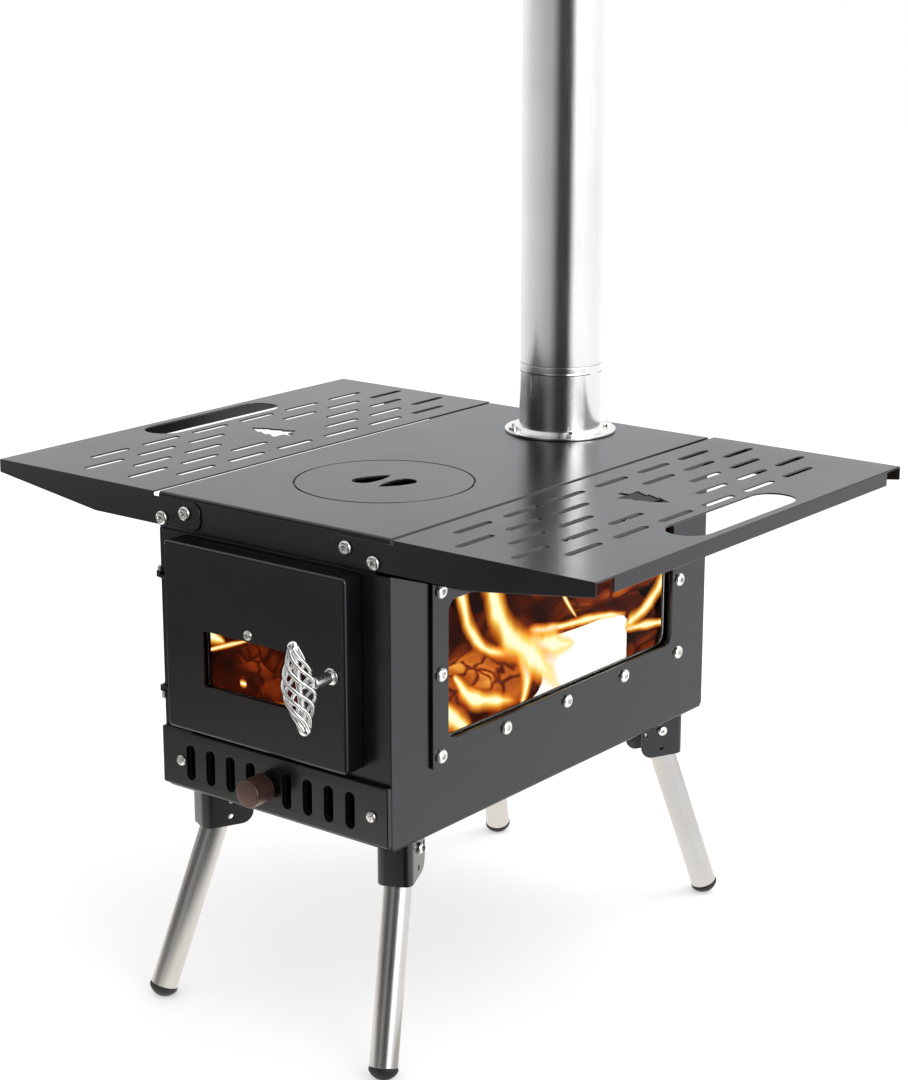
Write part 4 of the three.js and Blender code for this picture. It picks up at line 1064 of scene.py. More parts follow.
@dataclass
class SideWindow:
    """The framed glass in the right wall, with its twelve screws."""

    border: float = 16.5 * MM
    corner: float = 8 * MM
    outer_corner: float = 3 * MM
    edge: float = 0.45 * MM
    screw_edge: float = 8.2 * MM
    columns: int = 5

    def build(self, shop: Workshop) -> None:
        """Builds the frame, the glass, the seal, the clamp and the screws."""
        low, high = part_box("window_frame")
        outer = rounded((low.y, low.z), (high.y, high.z), self.outer_corner)
        b = self.border
        opening = rounded((low.y + b, low.z + b), (high.y - b, high.z - b), self.corner, 12)
        frame = plate("window_frame_dressed", Plane.YZ, outer, [opening], low.x, high.x, self.edge)
        shop.place(frame, Body.STOVE, Slot.COAT, "window_frame")
        c0, c1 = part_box("window_clamp")
        ring = grown(directed(opening, True), MM)
        clamp = plate("window_clamp_dressed", Plane.YZ,
                      rounded((c0.y, c0.z), (c1.y, c1.z), MM), [ring], c0.x, c0.x + 2 * MM, 0.3 * MM)
        shop.place(clamp, Body.STOVE, Slot.STEEL, "window_clamp", material=shop.small_steel)
        shop.dress("window_glass", Body.STOVE, Slot.GLASS, 0.2 * MM)
        shop.dress("window_seal", Body.STOVE, Slot.ROPE, 0.2 * MM, material=shop.dark_rope)
        e = self.screw_edge
        rows = [low.y + e + (high.y - low.y - 2 * e) * i / (self.columns - 1) for i in range(self.columns)]
        places = [(y, z) for z in (low.z + e, high.z - e) for y in rows]
        places += [(y, (low.z + high.z) / 2) for y in (rows[0], rows[-1])]
        out = Vector((1, 0, 0))
        seats = [(Vector((high.x, y, z)), out) for y, z in places]
        shop.fasten("window_screws", ScrewHead(), seats, Body.STOVE, "window_clamp")


@dataclass
class Flue:
    """The screwed collar and the first pipe section."""

    wall: float = 1.2 * MM
    flange_thick: float = 1.8 * MM
    bead: float = 2.2 * MM
    curl: float = 0.5 * MM
    slack: float = 0.4 * MM
    ridge_drop: float = 5.2 * MM
    screw_radius: float = 3.8 * MM
    screw_rise: float = 2.2 * MM
    screw_slot: float = 1.5 * MM

    def build(self, shop: Workshop) -> None:
        """Builds the collar, the pipe and the four screws of the flange."""
        low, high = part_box("flue_collar")
        axis = Matrix.Translation(((low.x + high.x) / 2, (low.y + high.y) / 2, 0))
        p0, p1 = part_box("flue_pipe")
        pipe_r = (p1.x - p0.x) / 2
        collar_r = pipe_r + self.slack
        ridge, ridge_half = high.z - self.ridge_drop, 0.8 * MM
        seat, flange_r = low.z + self.flange_thick, (high.x - low.x) / 2
        ring = [(collar_r - self.wall, low.z), (flange_r, low.z), (flange_r, seat),
                (collar_r + self.bead, seat), (collar_r, seat + self.bead), (collar_r, ridge - ridge_half),
                (collar_r + 0.25 * MM, ridge), (collar_r, ridge + ridge_half), (collar_r, high.z),
                (collar_r - self.wall, high.z)]
        collar = turned("flue_collar_dressed", ring, axis, 144, 0.45 * MM, hollow=True)
        shop.place(collar, Body.STOVE, Slot.STEEL, "flue_collar")
        shoulder = high.z + 0.15 * MM
        bore = pipe_r - self.wall
        throat = collar_r - self.wall - 0.3 * MM
        tube = [(throat - self.wall, p0.z), (throat, p0.z), (throat, shoulder), (pipe_r, shoulder),
                (pipe_r, p1.z - self.wall), (pipe_r - self.curl, p1.z), (bore, p1.z),
                (bore, shoulder + self.wall), (throat - self.wall, shoulder)]
        pipe = turned("flue_pipe_dressed", tube, axis, 144, 0.4 * MM, hollow=True)
        shop.place(pipe, Body.PIPE, Slot.STEEL, "flue_pipe")
        nodes = [f"flange_screw_{i}" for i in range(1, 5)]
        seats = [(Vector((*middle(n).xy, seat)), UP) for n in nodes]
        shape = ScrewHead(self.screw_radius, self.screw_rise, Recess.CROSS, self.screw_slot)
        shop.fasten("flange_screws", shape, seats, Body.STOVE, *nodes, seed=5)


@dataclass
class Door:
    """The glazed door with its hinge tabs, liner and rope gasket."""

    width: float = 157.8 * MM
    depth: float = 16.8 * MM
    back_gap: float = 0.8 * MM
    sheet: float = 1.6 * MM
    bend: float = 2.4 * MM
    corner: float = 3.4 * MM
    window: tuple[float, float] = (88 * MM, 38.3 * MM)
    window_drop: float = 10.8 * MM
    window_corner: float = 1.6 * MM
    tab: float = 1.8 * MM
    knuckle: float = 2.7 * MM
    bore: float = 1.5 * MM
    pin: float = 1.2 * MM
    pin_heads: tuple[float, float] = (3.2 * MM, 5.4 * MM)
    rope: float = 2.5 * MM
    rope_corner: float = 4 * MM
    rope_steps: int = 220
    bolt_radius: float = 3.5 * MM
    bolt_rise: float = 2.2 * MM

    def build(self, shop: Workshop) -> None:
        """Builds the door's pieces and its two hinge pins."""
        low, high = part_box("door_shell")
        left = high.x - self.width
        x, z = (left + high.x) / 2, (low.z + high.z) / 2 - self.window_drop
        w, h = self.window[0] / 2, self.window[1] / 2
        outer = rounded((left, low.z), (high.x, high.z), self.corner)
        glazed = rounded((x - w, z - h), (x + w, z + h), self.window_corner, 4)
        face = self.face()
        skin = pan("door_shell_dressed", outer, [glazed], face, high.y, self.sheet, self.bend)
        shop.place(skin, Body.DOOR, Slot.COAT, "door_shell")
        for node, slot, edge in (("door_glass", Slot.GLASS, 0.2), ("door_glass_clamp", Slot.COAT, 0.3),
                                 ("door_liner", Slot.COAT, 0.5)):
            shop.dress(node, Body.DOOR, slot, edge * MM)
        self.hinges(shop, left)
        self.gasket(shop)
        at = middle("door_glass_bolt")
        shop.fasten("door_glass_bolt_head", ScrewHead(self.bolt_radius, self.bolt_rise),
                    [(Vector((at.x, face, at.z)), FORWARD)], Body.DOOR, "door_glass_bolt")

    def face(self) -> float:
        """Y of the door's face."""
        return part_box("door_shell")[1].y + self.back_gap - self.depth

    def hinges(self, shop: Workshop, left: float) -> None:
        """Builds the door's two hinge tabs and the two pins."""
        pos = Vector(shop.joint("door_hinge")["pos_m"])
        r = self.knuckle
        for node, sign in (("hinge_pin_upper", 1), ("hinge_pin_lower", -1)):
            low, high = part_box(node)
            ends = (low.z, high.z)
            base = ends[0] + MM if sign > 0 else ends[1] - MM
            tab_low = base + 0.3 * MM if sign > 0 else base - 0.3 * MM - self.tab
            outline = arc((pos.x, pos.y), r, QUARTER, 3 * QUARTER, 12)
            outline += [(left + self.sheet, pos.y - r), (left + self.sheet, pos.y + r)]
            tab = plate(f"{node}_door_tab", Plane.XY, outline, [circle((pos.x, pos.y), self.bore, 32)],
                        tab_low, tab_low + self.tab, 0.3 * MM)
            shop.place(tab, Body.DOOR, Slot.COAT)
            head = (high.x - low.x) / 2
            inner, outer_end = (low.z, high.z) if sign > 0 else (high.z, low.z)
            length = abs(outer_end - inner)
            neck = length - self.pin_heads[0 if sign > 0 else 1]
            profile = [(0.0, 0.0), (self.pin, 0.0), (self.pin, neck), (head, neck), (head, length),
                       (0.0, length)]
            axis = aimed(Vector((pos.x, pos.y, inner)), sign * UP)
            pin = turned(f"{node}_dressed", profile, axis, 40, 0.7 * MM)
            shop.place(pin, Body.STOVE, Slot.STEEL, node, material=shop.small_steel)

    def gasket(self, shop: Workshop) -> None:
        """Lays the rope gasket round the liner's back."""
        low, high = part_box("door_gasket")
        depth = (high.y - low.y) / 2
        repeat = Repeat("rope_gasket", {
            "Width": ("Float", high.x - low.x - 2 * self.rope),
            "Height": ("Float", high.z - low.z - 2 * self.rope),
            "Corner": ("Float", self.rope_corner), "Rope": ("Float", self.rope)})
        given = repeat.given
        path = repeat.node("GeometryNodeCurvePrimitiveQuadrilateral",
                           {"Width": given["Width"], "Height": given["Height"]})
        bent = repeat.node("GeometryNodeFilletCurve", {
            "Curve": path.outputs[0], "Radius": given["Corner"], "Count": 6}, mode="POLY")
        tube = repeat.tube(repeat.resampled(bent.outputs[0], self.rope_steps), given["Rope"], 14)
        place = repeat.node("GeometryNodeTransform", {
            "Geometry": tube, "Translation": middle("door_gasket"), "Rotation": (QUARTER, 0, 0),
            "Scale": (1, 1, depth / self.rope)})
        made = repeat.made("door_gasket_dressed", place.outputs[0], shop.finish[Slot.ROPE])
        shop.place(made, Body.DOOR, Slot.ROPE, "door_gasket")


@dataclass
class Handle:
    """The twisted wire grip on its stem, and the latch tongue."""

    wire: float = 1.25 * MM
    wires: int = 6
    wire_steps: int = 56
    twist: float = -350.0
    swell: float = 1.45
    tip_radius: float = 3 * MM
    core: float = 2 * MM
    bead: float = 4 * MM
    radius: float = 10 * MM
    length: float = 61 * MM
    lean: float = 9.1
    spindle: float = 3 * MM
    thin: float = 1.8 * MM
    shaft: float = 4 * MM
    shaft_start: float = 12.2 * MM
    collar: float = 5.6 * MM
    collar_thick: float = 2.4 * MM
    tongue_thick: float = 3.3 * MM

    def build(self, shop: Workshop) -> None:
        """Builds the grip, the stem and the tongue."""
        shop.place(self.grip(shop), Body.HANDLE, Slot.PLATED, "handle_grip")
        low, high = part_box("handle_stem")
        at = middle("latch_tongue")
        length = high.y - low.y
        seat = Door().face() - low.y
        shaft, collar, start, foot = self.shaft, self.collar, self.shaft_start, seat - self.collar_thick
        profile = [(0.0, 0.0), (self.thin, 0.0), (self.thin, start), (shaft * 0.8, start),
                   (shaft, start + 1.2 * MM), (shaft, foot - 1.6 * MM), (shaft * 0.86, foot - 1.2 * MM),
                   (shaft * 0.86, foot - 0.5 * MM), (collar * 0.86, foot), (collar, foot + 0.8 * MM),
                   (collar, seat - 0.1 * MM),
                   (self.spindle, seat - 0.1 * MM), (self.spindle, length - self.tongue_thick),
                   (self.thin, length - self.tongue_thick), (self.thin, length), (0.0, length)]
        axis = aimed(Vector((at.x, low.y, at.z)), BACKWARD)
        stem = turned("handle_stem_dressed", profile, axis, 48, 0.5 * MM)
        shop.place(stem, Body.HANDLE, Slot.STEEL, "handle_stem", material=shop.small_steel)
        shop.dress("latch_tongue", Body.HANDLE, Slot.STEEL, 0.4 * MM, material=shop.small_steel)

    def grip(self, shop: Workshop) -> bpy.types.Object:
        """Twists the wires round the core, from one bead to the other.

        Args:
            shop: The workshop.

        Returns:
            The grip.
        """
        low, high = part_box("handle_grip")
        repeat = Repeat("wire_grip", {
            "Length": ("Float", self.length - 2 * self.bead), "Radius": ("Float", self.radius),
            "Wire": ("Float", self.wire), "Wires": ("Int", self.wires),
            "Twist": ("Float", math.radians(self.twist)), "Tip": ("Float", self.tip_radius),
            "Core": ("Float", self.core), "Bead": ("Float", self.bead)})
        given, math_of = repeat.given, repeat.sum
        line = repeat.node("GeometryNodeCurvePrimitiveLine")
        fine = repeat.resampled(line.outputs[0], self.wire_steps)
        copies = repeat.node("GeometryNodeDuplicateElements", {"Geometry": fine, "Amount": given["Wires"]},
                             domain="SPLINE")
        t = repeat.node("GeometryNodeSplineParameter").outputs["Factor"]
        share = math_of("DIVIDE", copies.outputs["Duplicate Index"], given["Wires"])
        centred = math_of("SUBTRACT", t, 0.5)
        twist = math_of("MULTIPLY", centred, given["Twist"])
        angle = math_of("ADD", math_of("MULTIPLY", share, FULL_TURN), twist)
        bulge = math_of("POWER", math_of("SINE", math_of("MULTIPLY", t, math.pi)), self.swell)
        swell = math_of("MULTIPLY", bulge, math_of("SUBTRACT", given["Radius"], given["Tip"]))
        radius = math_of("ADD", given["Tip"], swell)
        where = repeat.node("ShaderNodeCombineXYZ", {
            "X": math_of("MULTIPLY", radius, math_of("COSINE", angle)),
            "Y": math_of("MULTIPLY", radius, math_of("SINE", angle)),
            "Z": math_of("MULTIPLY", centred, given["Length"])}).outputs[0]
        bent = repeat.node("GeometryNodeSetPosition", {"Geometry": copies.outputs[0], "Position": where})
        core = repeat.node("GeometryNodeMeshCylinder", {
            "Radius": given["Core"], "Depth": given["Length"], "Vertices": 20})
        parts = [repeat.tube(bent.outputs[0], given["Wire"], 12, True), core.outputs[0]]
        for sign in (-0.5, 0.5):
            ball = repeat.node("GeometryNodeMeshUVSphere", {
                "Radius": given["Bead"], "Segments": 28, "Rings": 16})
            up = repeat.node("ShaderNodeCombineXYZ", {"Z": math_of("MULTIPLY", given["Length"], sign)})
            parts.append(repeat.node("GeometryNodeTransform", {
                "Geometry": ball.outputs[0], "Translation": up.outputs[0]}).outputs[0])
        joined = repeat.node("GeometryNodeJoinGeometry")
        for part in parts:
            repeat.links.new(part, joined.inputs[0])
        stem = middle("latch_tongue")
        place = repeat.node("GeometryNodeTransform", {
            "Geometry": joined.outputs[0], "Rotation": (0, -math.radians(self.lean), 0),
            "Translation": (stem.x, (low.y + high.y) / 2, stem.z)})
        return repeat.made("handle_grip_dressed", place.outputs[0], shop.finish[Slot.PLATED])


@dataclass
class AirControl:
    """The slotted panel, the slide behind it and its knob."""

    sheet: float = 2 * MM
    bend: float = 1.2 * MM
    slot: tuple[float, float] = (8 * MM, 25 * MM)
    pitch: float = 18.3 * MM
    middle: float = -2.4 * MM
    gap_half: float = 16 * MM
    per_side: int = 4
    travel: float = 8.6 * MM
    stud: float = 2.5 * MM
    grip: float = 18 * MM
    face_round: float = 1.6 * MM
    neck: float = 2 * MM
    neck_length: float = 1.4 * MM
    screw_radius: float = 3.8 * MM
    screw_rise: float = 2.2 * MM
    screw_slot: float = 1.5 * MM
    screw_deep: float = 1.4 * MM

    def build(self, shop: Workshop) -> None:
        """Builds the panel, the slide, the knob and the two screws."""
        low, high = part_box("air_panel")
        knob_low, knob_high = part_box("air_knob")
        knob = middle("air_knob")
        z = middle("air_panel_screw_left").z
        w, h = self.slot[0] / 2, self.slot[1] / 2
        columns = [self.middle + s * (self.gap_half + i * self.pitch)
                   for s in (-1, 1) for i in range(self.per_side)]
        holes = [rounded((x - w, z - h), (x + w, z + h), w - 0.01 * MM, 10) for x in columns]
        run = self.stud + 0.3 * MM
        slit = (knob.x - run, z - run), (knob.x + self.travel + run, z + run)
        holes.append(rounded(*slit, run - 0.01 * MM, 10))
        outer = rounded((low.x, low.z), (high.x, high.z), 1.4 * MM, 5)
        panel = pan("air_panel_dressed", outer, holes, low.y, high.y, self.sheet, self.bend)
        shop.place(panel, Body.STOVE, Slot.COAT, "air_panel")
        shop.dress("air_slider", Body.AIR, Slot.COAT, 0.2 * MM)
        radius = (knob_high.z - knob_low.z) / 2
        length = knob_high.y - knob_low.y
        rim, end = self.face_round, self.grip
        profile = [(0.0, 0.0), (radius * 0.5, 0.12 * MM), (radius - rim - 0.5 * MM, 0.45 * MM)]
        profile += arc((radius - rim, 0.5 * MM + rim), rim, -QUARTER, 0, 6)
        shoulder = length - self.neck_length
        profile += [(radius, end - 0.8 * MM), (radius - 0.8 * MM, end), (self.stud, end), (self.stud, shoulder),
                    (self.neck, shoulder), (self.neck, length), (0.0, length)]
        body = turned("air_knob_dressed", profile, aimed(Vector((knob.x, knob_low.y, knob.z)), BACKWARD), 96)
        shop.place(body, Body.AIR, Slot.KNOB, "air_knob")
        nodes = ["air_panel_screw_left", "air_panel_screw_right"]
        seats = [(Vector((middle(n).x, low.y, z)), FORWARD) for n in nodes]
        shape = ScrewHead(self.screw_radius, self.screw_rise, Recess.CROSS, self.screw_slot, self.screw_deep)
        shop.fasten("air_panel_screws", shape, seats, Body.STOVE, *nodes, seed=8)


@dataclass
class Shelves:
    """The two slotted shelves and their eight bolts."""

    edge: float = 0.5 * MM
    bolt_rise: float = 2.8 * MM

    def build(self, shop: Workshop) -> None:
        """Dresses the shelves and sets the bolts."""
        for side, body in (("left", Body.SHELF_LEFT), ("right", Body.SHELF_RIGHT)):
            shop.dress(f"shelf_{side}", body, Slot.COAT, self.edge, even=True)
        nodes, seats = [], []
        for kind in ("pivot", "stop"):
            for end, out in (("front", -1), ("back", 1)):
                for side in ("left", "right"):
                    node = f"shelf_{kind}_{end}_{side}"
                    low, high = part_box(node)
                    face = low.y + self.bolt_rise if out < 0 else high.y - self.bolt_rise
                    at = (low + high) / 2
                    nodes.append(node)
                    seats.append((Vector((at.x, face, at.z)), Vector((0, out, 0))))
        shop.fasten("shelf_bolts", ScrewHead(), seats, Body.STOVE, *nodes, seed=11)


@dataclass
class Leg:
    """One folding leg: bracket, tube, rubber foot and cross-head pivot."""

    name: str
    tube: float = 9.5 * MM
    wall: float = 1.2 * MM
    reach: float = 143.2 * MM
    above: float = 3.4 * MM
    cap_radius: float = 9.9 * MM
    rim: float = 2.3 * MM
    dome: float = 11 * MM
    tilt: float = 19.9
    plug: float = 10 * MM
    bracket_edge: float = 0.45 * MM
    seat: float = 12.2 * MM
    shank: float = 2 * MM
    head: float = 3.9 * MM
    head_rise: float = 2.4 * MM
    head_slot: float = 1.6 * MM
    nut: float = 3.4 * MM

    def build(self, shop: Workshop) -> None:
        """Builds the leg's pieces in their standing place."""
        joint = shop.joint(f"leg_{self.name}_fold")
        pivot, axis = Vector(joint["pos_m"]), Vector(joint["axis"])
        outward = Vector((axis.y, -axis.x, 0)).normalized()
        tilt = math.radians(self.tilt)
        down = outward * math.sin(tilt) - Vector((0, 0, math.cos(tilt)))
        place = aimed(pivot, down)
        r, inner = self.tube, self.tube - self.wall
        pipe = [(inner, -self.above), (r, -self.above), (r, self.reach), (inner, self.reach)]
        body = f"leg_{self.name}"
        tube = turned(f"leg_tube_{self.name}_dressed", pipe, place, 64, 0.35 * MM, hollow=True)
        shop.place(tube, body, Slot.STEEL, f"leg_tube_{self.name}", material=shop.leg_steel)
        start = self.reach + 0.15 * MM
        lip = start + self.rim
        cr = self.cap_radius
        depth = self.dome - math.sqrt(self.dome**2 - cr**2)
        centre = lip + depth - self.dome
        first = math.asin(cr / self.dome)
        dome = [(self.dome * math.sin(a), centre + self.dome * math.cos(a)) for a in
                (first * (1 - i / 10) for i in range(11))]
        plug_radius, plug_end = inner - 0.3 * MM, start - self.plug
        profile = [(0.0, plug_end), (plug_radius, plug_end), (plug_radius, start),
                   (cr - 0.5 * MM, start), (cr, start + 0.6 * MM)] + dome[:-1] + [(0.0, centre + self.dome)]
        cap_piece = turned(f"leg_cap_{self.name}_dressed", profile, place, 64)
        for vert in cap_piece.data.vertices:
            vert.co.z = max(vert.co.z, 0.0)
        shop.place(cap_piece, body, Slot.RUBBER, f"leg_cap_{self.name}")
        shop.dress(f"leg_bracket_{self.name}", Body.STOVE, Slot.COAT, self.bracket_edge)
        self.pivot_screw(shop, pivot, axis.normalized())

    def pivot_screw(self, shop: Workshop, pivot: Vector, axis: Vector) -> None:
        """Sets the cross-head screw on the cheek that faces outwards, and its nut on the other."""
        node = f"leg_pivot_{self.name}"
        side = 1 if self.name.endswith("right") else -1
        facing = 1 if axis.x * side > 0 else -1
        out = axis * facing
        seat, rise, nut = self.seat, self.head_rise, self.nut
        profile = [(0.0, -seat), (self.shank, -seat), (self.shank, seat), (0.0, seat)]
        head = ScrewHead(self.head, rise, Recess.CROSS, self.head_slot)
        ring = [(0.0, 0.0), (nut, 0.0), (nut, rise), (0.0, rise)]
        for piece in (turned(f"{node}_shank", profile, aimed(pivot, out), 24),
                      screws(f"{node}_head", head, [(pivot + out * seat, out)], shop.small_steel, 4),
                      turned(f"{node}_nut", ring, aimed(pivot - out * seat, -out), 6)):
            shop.place(piece, Body.STOVE, Slot.STEEL, node, material=shop.small_steel)


# ---------------------------------------------------------------- fire, which is stage only
@dataclass
class Fire:
    """Burning logs and flames inside the firebox. They are stage and no part of the stove."""

    radius: float = 26.5 * MM
    lift: float = 5 * MM
    columns: tuple[float, ...] = (-60 * MM, -5 * MM, 50 * MM)
    ends: tuple[float, float] = (-146 * MM, 176 * MM)
    rows: int = 44
    flame_plane: float = 82 * MM
    front_plane: float = -156 * MM
    front_heat: float = 0.55
    billet_box: tuple[Triple, Triple] = ((58, 26, 180), (79, 132, 238))
    roughness: float = 5 * MM
    flame_gap: float = 0.4 * MM
    flame_spread: float = 1.2
    # Each flame tongue is a row of (along, up, half width) in millimetres.
    side_tongues: tuple[tuple[Triple, ...], ...] = (
        ((-50, 322, 7), (-38, 297, 10), (-30, 278, 11), (-14, 257, 13), (4, 243, 14), (24, 226, 12),
         (44, 204, 5)),
        ((-80, 320, 5), (-72, 308, 6), (-66, 290, 6), (-60, 274, 6), (-42, 256, 5), (-16, 247, 6)),
        ((-12, 250, 9), (6, 246, 14), (26, 243, 13), (46, 238, 9), (62, 235, 3)),
        ((-5, 246, 6), (5, 227, 7), (3, 214, 6), (-2, 205, 3)),
        ((-77, 247, 3), (-72, 241, 4), (-59, 227, 7), (-38, 219, 8), (-8, 211, 4)),
        ((-86, 225, 6), (-82, 222, 8), (-71, 213, 9), (-58, 202, 5)),
        ((125, 231, 3), (136, 234, 7), (152, 239, 6), (170, 250, 7), (181, 266, 9), (184, 288, 9),
         (180, 308, 7)),
        ((127, 229, 3), (152, 226, 4), (182, 222, 3)),
        ((48, 276, 1), (52, 270, 2), (59, 261, 2), (67, 252, 1)),
        ((10, 257, 3), (24, 253, 5), (49, 250, 3), (75, 248, 4), (102, 245, 3), (130, 240, 2)))
    door_tongues: tuple[tuple[Triple, ...], ...] = (
        ((-76, 278, 6), (-69, 268, 8), (-60, 266, 6), (-50, 264, 2)),
        ((-37, 238.4, 2), (-34, 238.4, 3), (-31, 238.4, 2)),
        ((-42, 222, 2), (-28, 226, 3), (-11, 228, 3), (6, 231, 2)),
        ((-72, 253, 1), (-48, 262.5, 2), (-27, 270, 1)))

    def build(self) -> None:
        """Builds the logs, the lower row glowing as embers, the white-hot billet and the flames."""
        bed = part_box("fire_grate")[1].z + self.lift
        embers, bark = self.charred("cracked_embers", 0.06), self.charred("dark_bark", -0.05)
        for row, material in enumerate((embers, bark)):
            for column, x in enumerate(self.columns):
                z = bed + self.radius + row * 1.93 * self.radius
                start, end = (Vector((x, y, z)) for y in self.ends)
                self.log(f"stage_log_{row}_{column}", start, end, material, 3 * row + column)
        self.billet()
        self.flames()

    def log(self, name: str, start: Vector, end: Vector, material: bpy.types.Material, seed: int) -> None:
        """Builds one rough log.

        Args:
            name: The object's name.
            start: Middle of its front end.
            end: Middle of its back end.
            material: Its glow.
            seed: Shifts its roughness.
        """
        length = (end - start).length
        rows = [(self.radius, length * i / self.rows) for i in range(self.rows + 1)]
        profile = [(0.0, 0.0)] + rows + [(0.0, length)]
        piece = turned(name, profile, aimed(start, end - start), 44)
        for vert in piece.data.vertices:
            away = (vert.co - start) - (vert.co - start).project(end - start)
            rough = noise.noise(Vector((vert.co.x * 60 + seed * 7, vert.co.y * 16, vert.co.z * 60)))
            if away.length > 1e-5:
                vert.co += away.normalized() * rough * self.roughness
        piece.data.materials.append(material)
        piece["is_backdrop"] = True

    def charred(self, name: str, heat: float) -> bpy.types.Material:
        """Charred wood: glowing brown between dark cracks, hotter in patches.

        Args:
            name: The material's name.
            heat: Added to its glow.

        Returns:
            The material.
        """
        glow = Glow(name)
        where = glow.node("ShaderNodeTexCoord").outputs["Object"]
        warp = glow.node("ShaderNodeTexNoise", {"Vector": where, "Scale": 34.0, "Detail": 4.0})
        mixed = glow.node("ShaderNodeMix", {0: 0.035, 4: where, 5: warp.outputs["Color"]}, data_type="VECTOR")
        along = glow.node("ShaderNodeMapping", {"Vector": mixed.outputs[1], "Scale": (1.0, 0.6, 1.0)})
        cells = glow.node("ShaderNodeTexVoronoi", {"Vector": along.outputs[0], "Scale": 60.0},
                          feature="DISTANCE_TO_EDGE")
        plates = glow.ranged(cells.outputs["Distance"], 0.0, 1.0, 0.0, 0.11)
        patches = glow.ranged(glow.noise(17, (1, 0.8, 1.4), detail=5), heat, 0.86 + heat, 0.36, 0.74)
        grain = glow.ranged(glow.noise(90, (1, 0.2, 1), detail=4), -0.16, 0.16)
        total = glow.sum("MULTIPLY", glow.sum("ADD", patches, grain), glow.ranged(plates, 0.35, 1.0, 0.0, 1.0))
        front = glow.node("ShaderNodeSeparateXYZ", {0: where}).outputs[1]
        total = glow.sum("MULTIPLY", total, glow.ranged(front, self.front_heat, 1.0, -0.14, -0.11))
        color = glow.ramp(total, [
            (0.0, (0.008, 0.0012, 0.0006)), (0.22, (0.05, 0.005, 0.0012)), (0.45, (0.23, 0.028, 0.004)),
            (0.7, (0.6, 0.13, 0.01)), (1.0, (1.0, 0.45, 0.06))])
        glow.ends_in(glow.light(color))
        return glow.material

    def billet(self) -> None:
        """Lays a white-hot split billet behind the side window."""
        low, high = (Vector(corner) * MM for corner in self.billet_box)
        bm = bmesh.new()
        bmesh.ops.create_cube(bm, size=1)
        bm.transform(Matrix.Translation((low + high) / 2) @ Matrix.Diagonal((*(high - low), 1)))
        bmesh.ops.bevel(bm, geom=bm.edges[:], offset=2 * MM, segments=3, affect="EDGES")
        piece = object_of("stage_billet", bm)
        glow = Glow("white_hot")
        heat = glow.ranged(glow.noise(30, detail=3), 0.0, 1.0)
        glow.ends_in(glow.light(glow.blend(heat, (1.0, 0.93, 0.76), (1.0, 0.99, 0.95)), 1.5, 0.05))
        piece.data.materials.append(glow.material)
        piece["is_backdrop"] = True

    def flames(self) -> None:
        """Hangs flame tongues in a plane behind the side window and in one behind the door's window."""
        material = self.flame()
        for plane, first, tongues in ((Plane.YZ, self.flame_plane, self.side_tongues),
                                      (Plane.XZ, self.front_plane, self.door_tongues)):
            for i, line in enumerate(tongues):
                depth = first - self.flame_gap * i
                piece = self.tongue(f"stage_flame_{plane.value}_{i}", plane, line, depth)
                piece.data.materials.append(material)
                piece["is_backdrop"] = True

    def tongue(self, name: str, plane: Plane, line: Sequence[Triple], depth: float) -> bpy.types.Object:
        """Builds one flame tongue as a flat strip with a UV map across and along it.

        Args:
            name: The object's name.
            plane: The plane it hangs in.
            line: Its middle line and half widths.
            depth: Where the plane stands.

        Returns:
            The strip.
        """
        steps, across = 40, 12
        bm = bmesh.new()
        uv_layer = bm.loops.layers.uv.new("Flame")
        rows = []
        for k in range(steps + 1):
            t = k / steps * (len(line) - 1)
            i = min(int(t), len(line) - 2)
            a, b = Vector(line[i]), Vector(line[i + 1])
            before = Vector(line[max(i - 1, 0)])
            after = Vector(line[min(i + 2, len(line) - 1)])
            u = t - i
            point = 0.5 * (2 * a + (b - before) * u + (2 * before - 5 * a + 4 * b - after) * u**2
                           + (3 * a - before - 3 * b + after) * u**3)
            ahead = ((b - a) * Vector((1, 1, 0))).normalized()
            side = Vector((-ahead.y, ahead.x))
            half = max(point.z, 0.2) * self.flame_spread
            rows.append([(plane.point(*((point.xy + side * half * v) * MM), depth), (v, k / steps))
                         for v in (2 * j / across - 1 for j in range(across + 1))])
        grid = [[bm.verts.new(place) for place, _ in row] for row in rows]
        for k in range(steps):
            for j in range(across):
                corners = [(k, j), (k, j + 1), (k + 1, j + 1), (k + 1, j)]
                face = bm.faces.new([grid[r][c] for r, c in corners])
                for loop, (r, c) in zip(face.loops, corners):
                    loop[uv_layer].uv = rows[r][c][1]
        return object_of(name, bm)

    def flame(self) -> bpy.types.Material:
        """A flame that is white in its middle, yellow about it and fades out in orange."""
        glow = Glow("flame")
        split = glow.node("ShaderNodeSeparateXYZ", {0: glow.node("ShaderNodeTexCoord").outputs["UV"]})
        across = glow.sum("ABSOLUTE", split.outputs[0])
        wander = glow.ranged(glow.noise(60, (1, 1, 0.5), detail=2), -0.16, 0.16)
        ends = glow.sum("SINE", glow.sum("MULTIPLY", split.outputs[1], math.pi))
        body = glow.sum("ADD", glow.sum("SUBTRACT", 1.0, across), wander)
        body = glow.sum("MULTIPLY", body, glow.ranged(ends, 0.25, 1.0, 0.0, 0.45))
        color = glow.ramp(body, [
            (0.0, (1.0, 0.1, 0.004)), (0.34, (1.0, 0.27, 0.012)), (0.62, (1.0, 0.62, 0.09)),
            (0.9, (1.0, 0.94, 0.62))])
        opacity = glow.ranged(body, 0.0, 1.0, 0.02, 0.75)
        clear = glow.node("ShaderNodeBsdfTransparent").outputs[0]
        shown = glow.node("ShaderNodeMixShader", {0: opacity, 1: clear, 2: glow.light(color, 1.15, 0.05)})
        glow.ends_in(shown.outputs[0])
        return glow.material


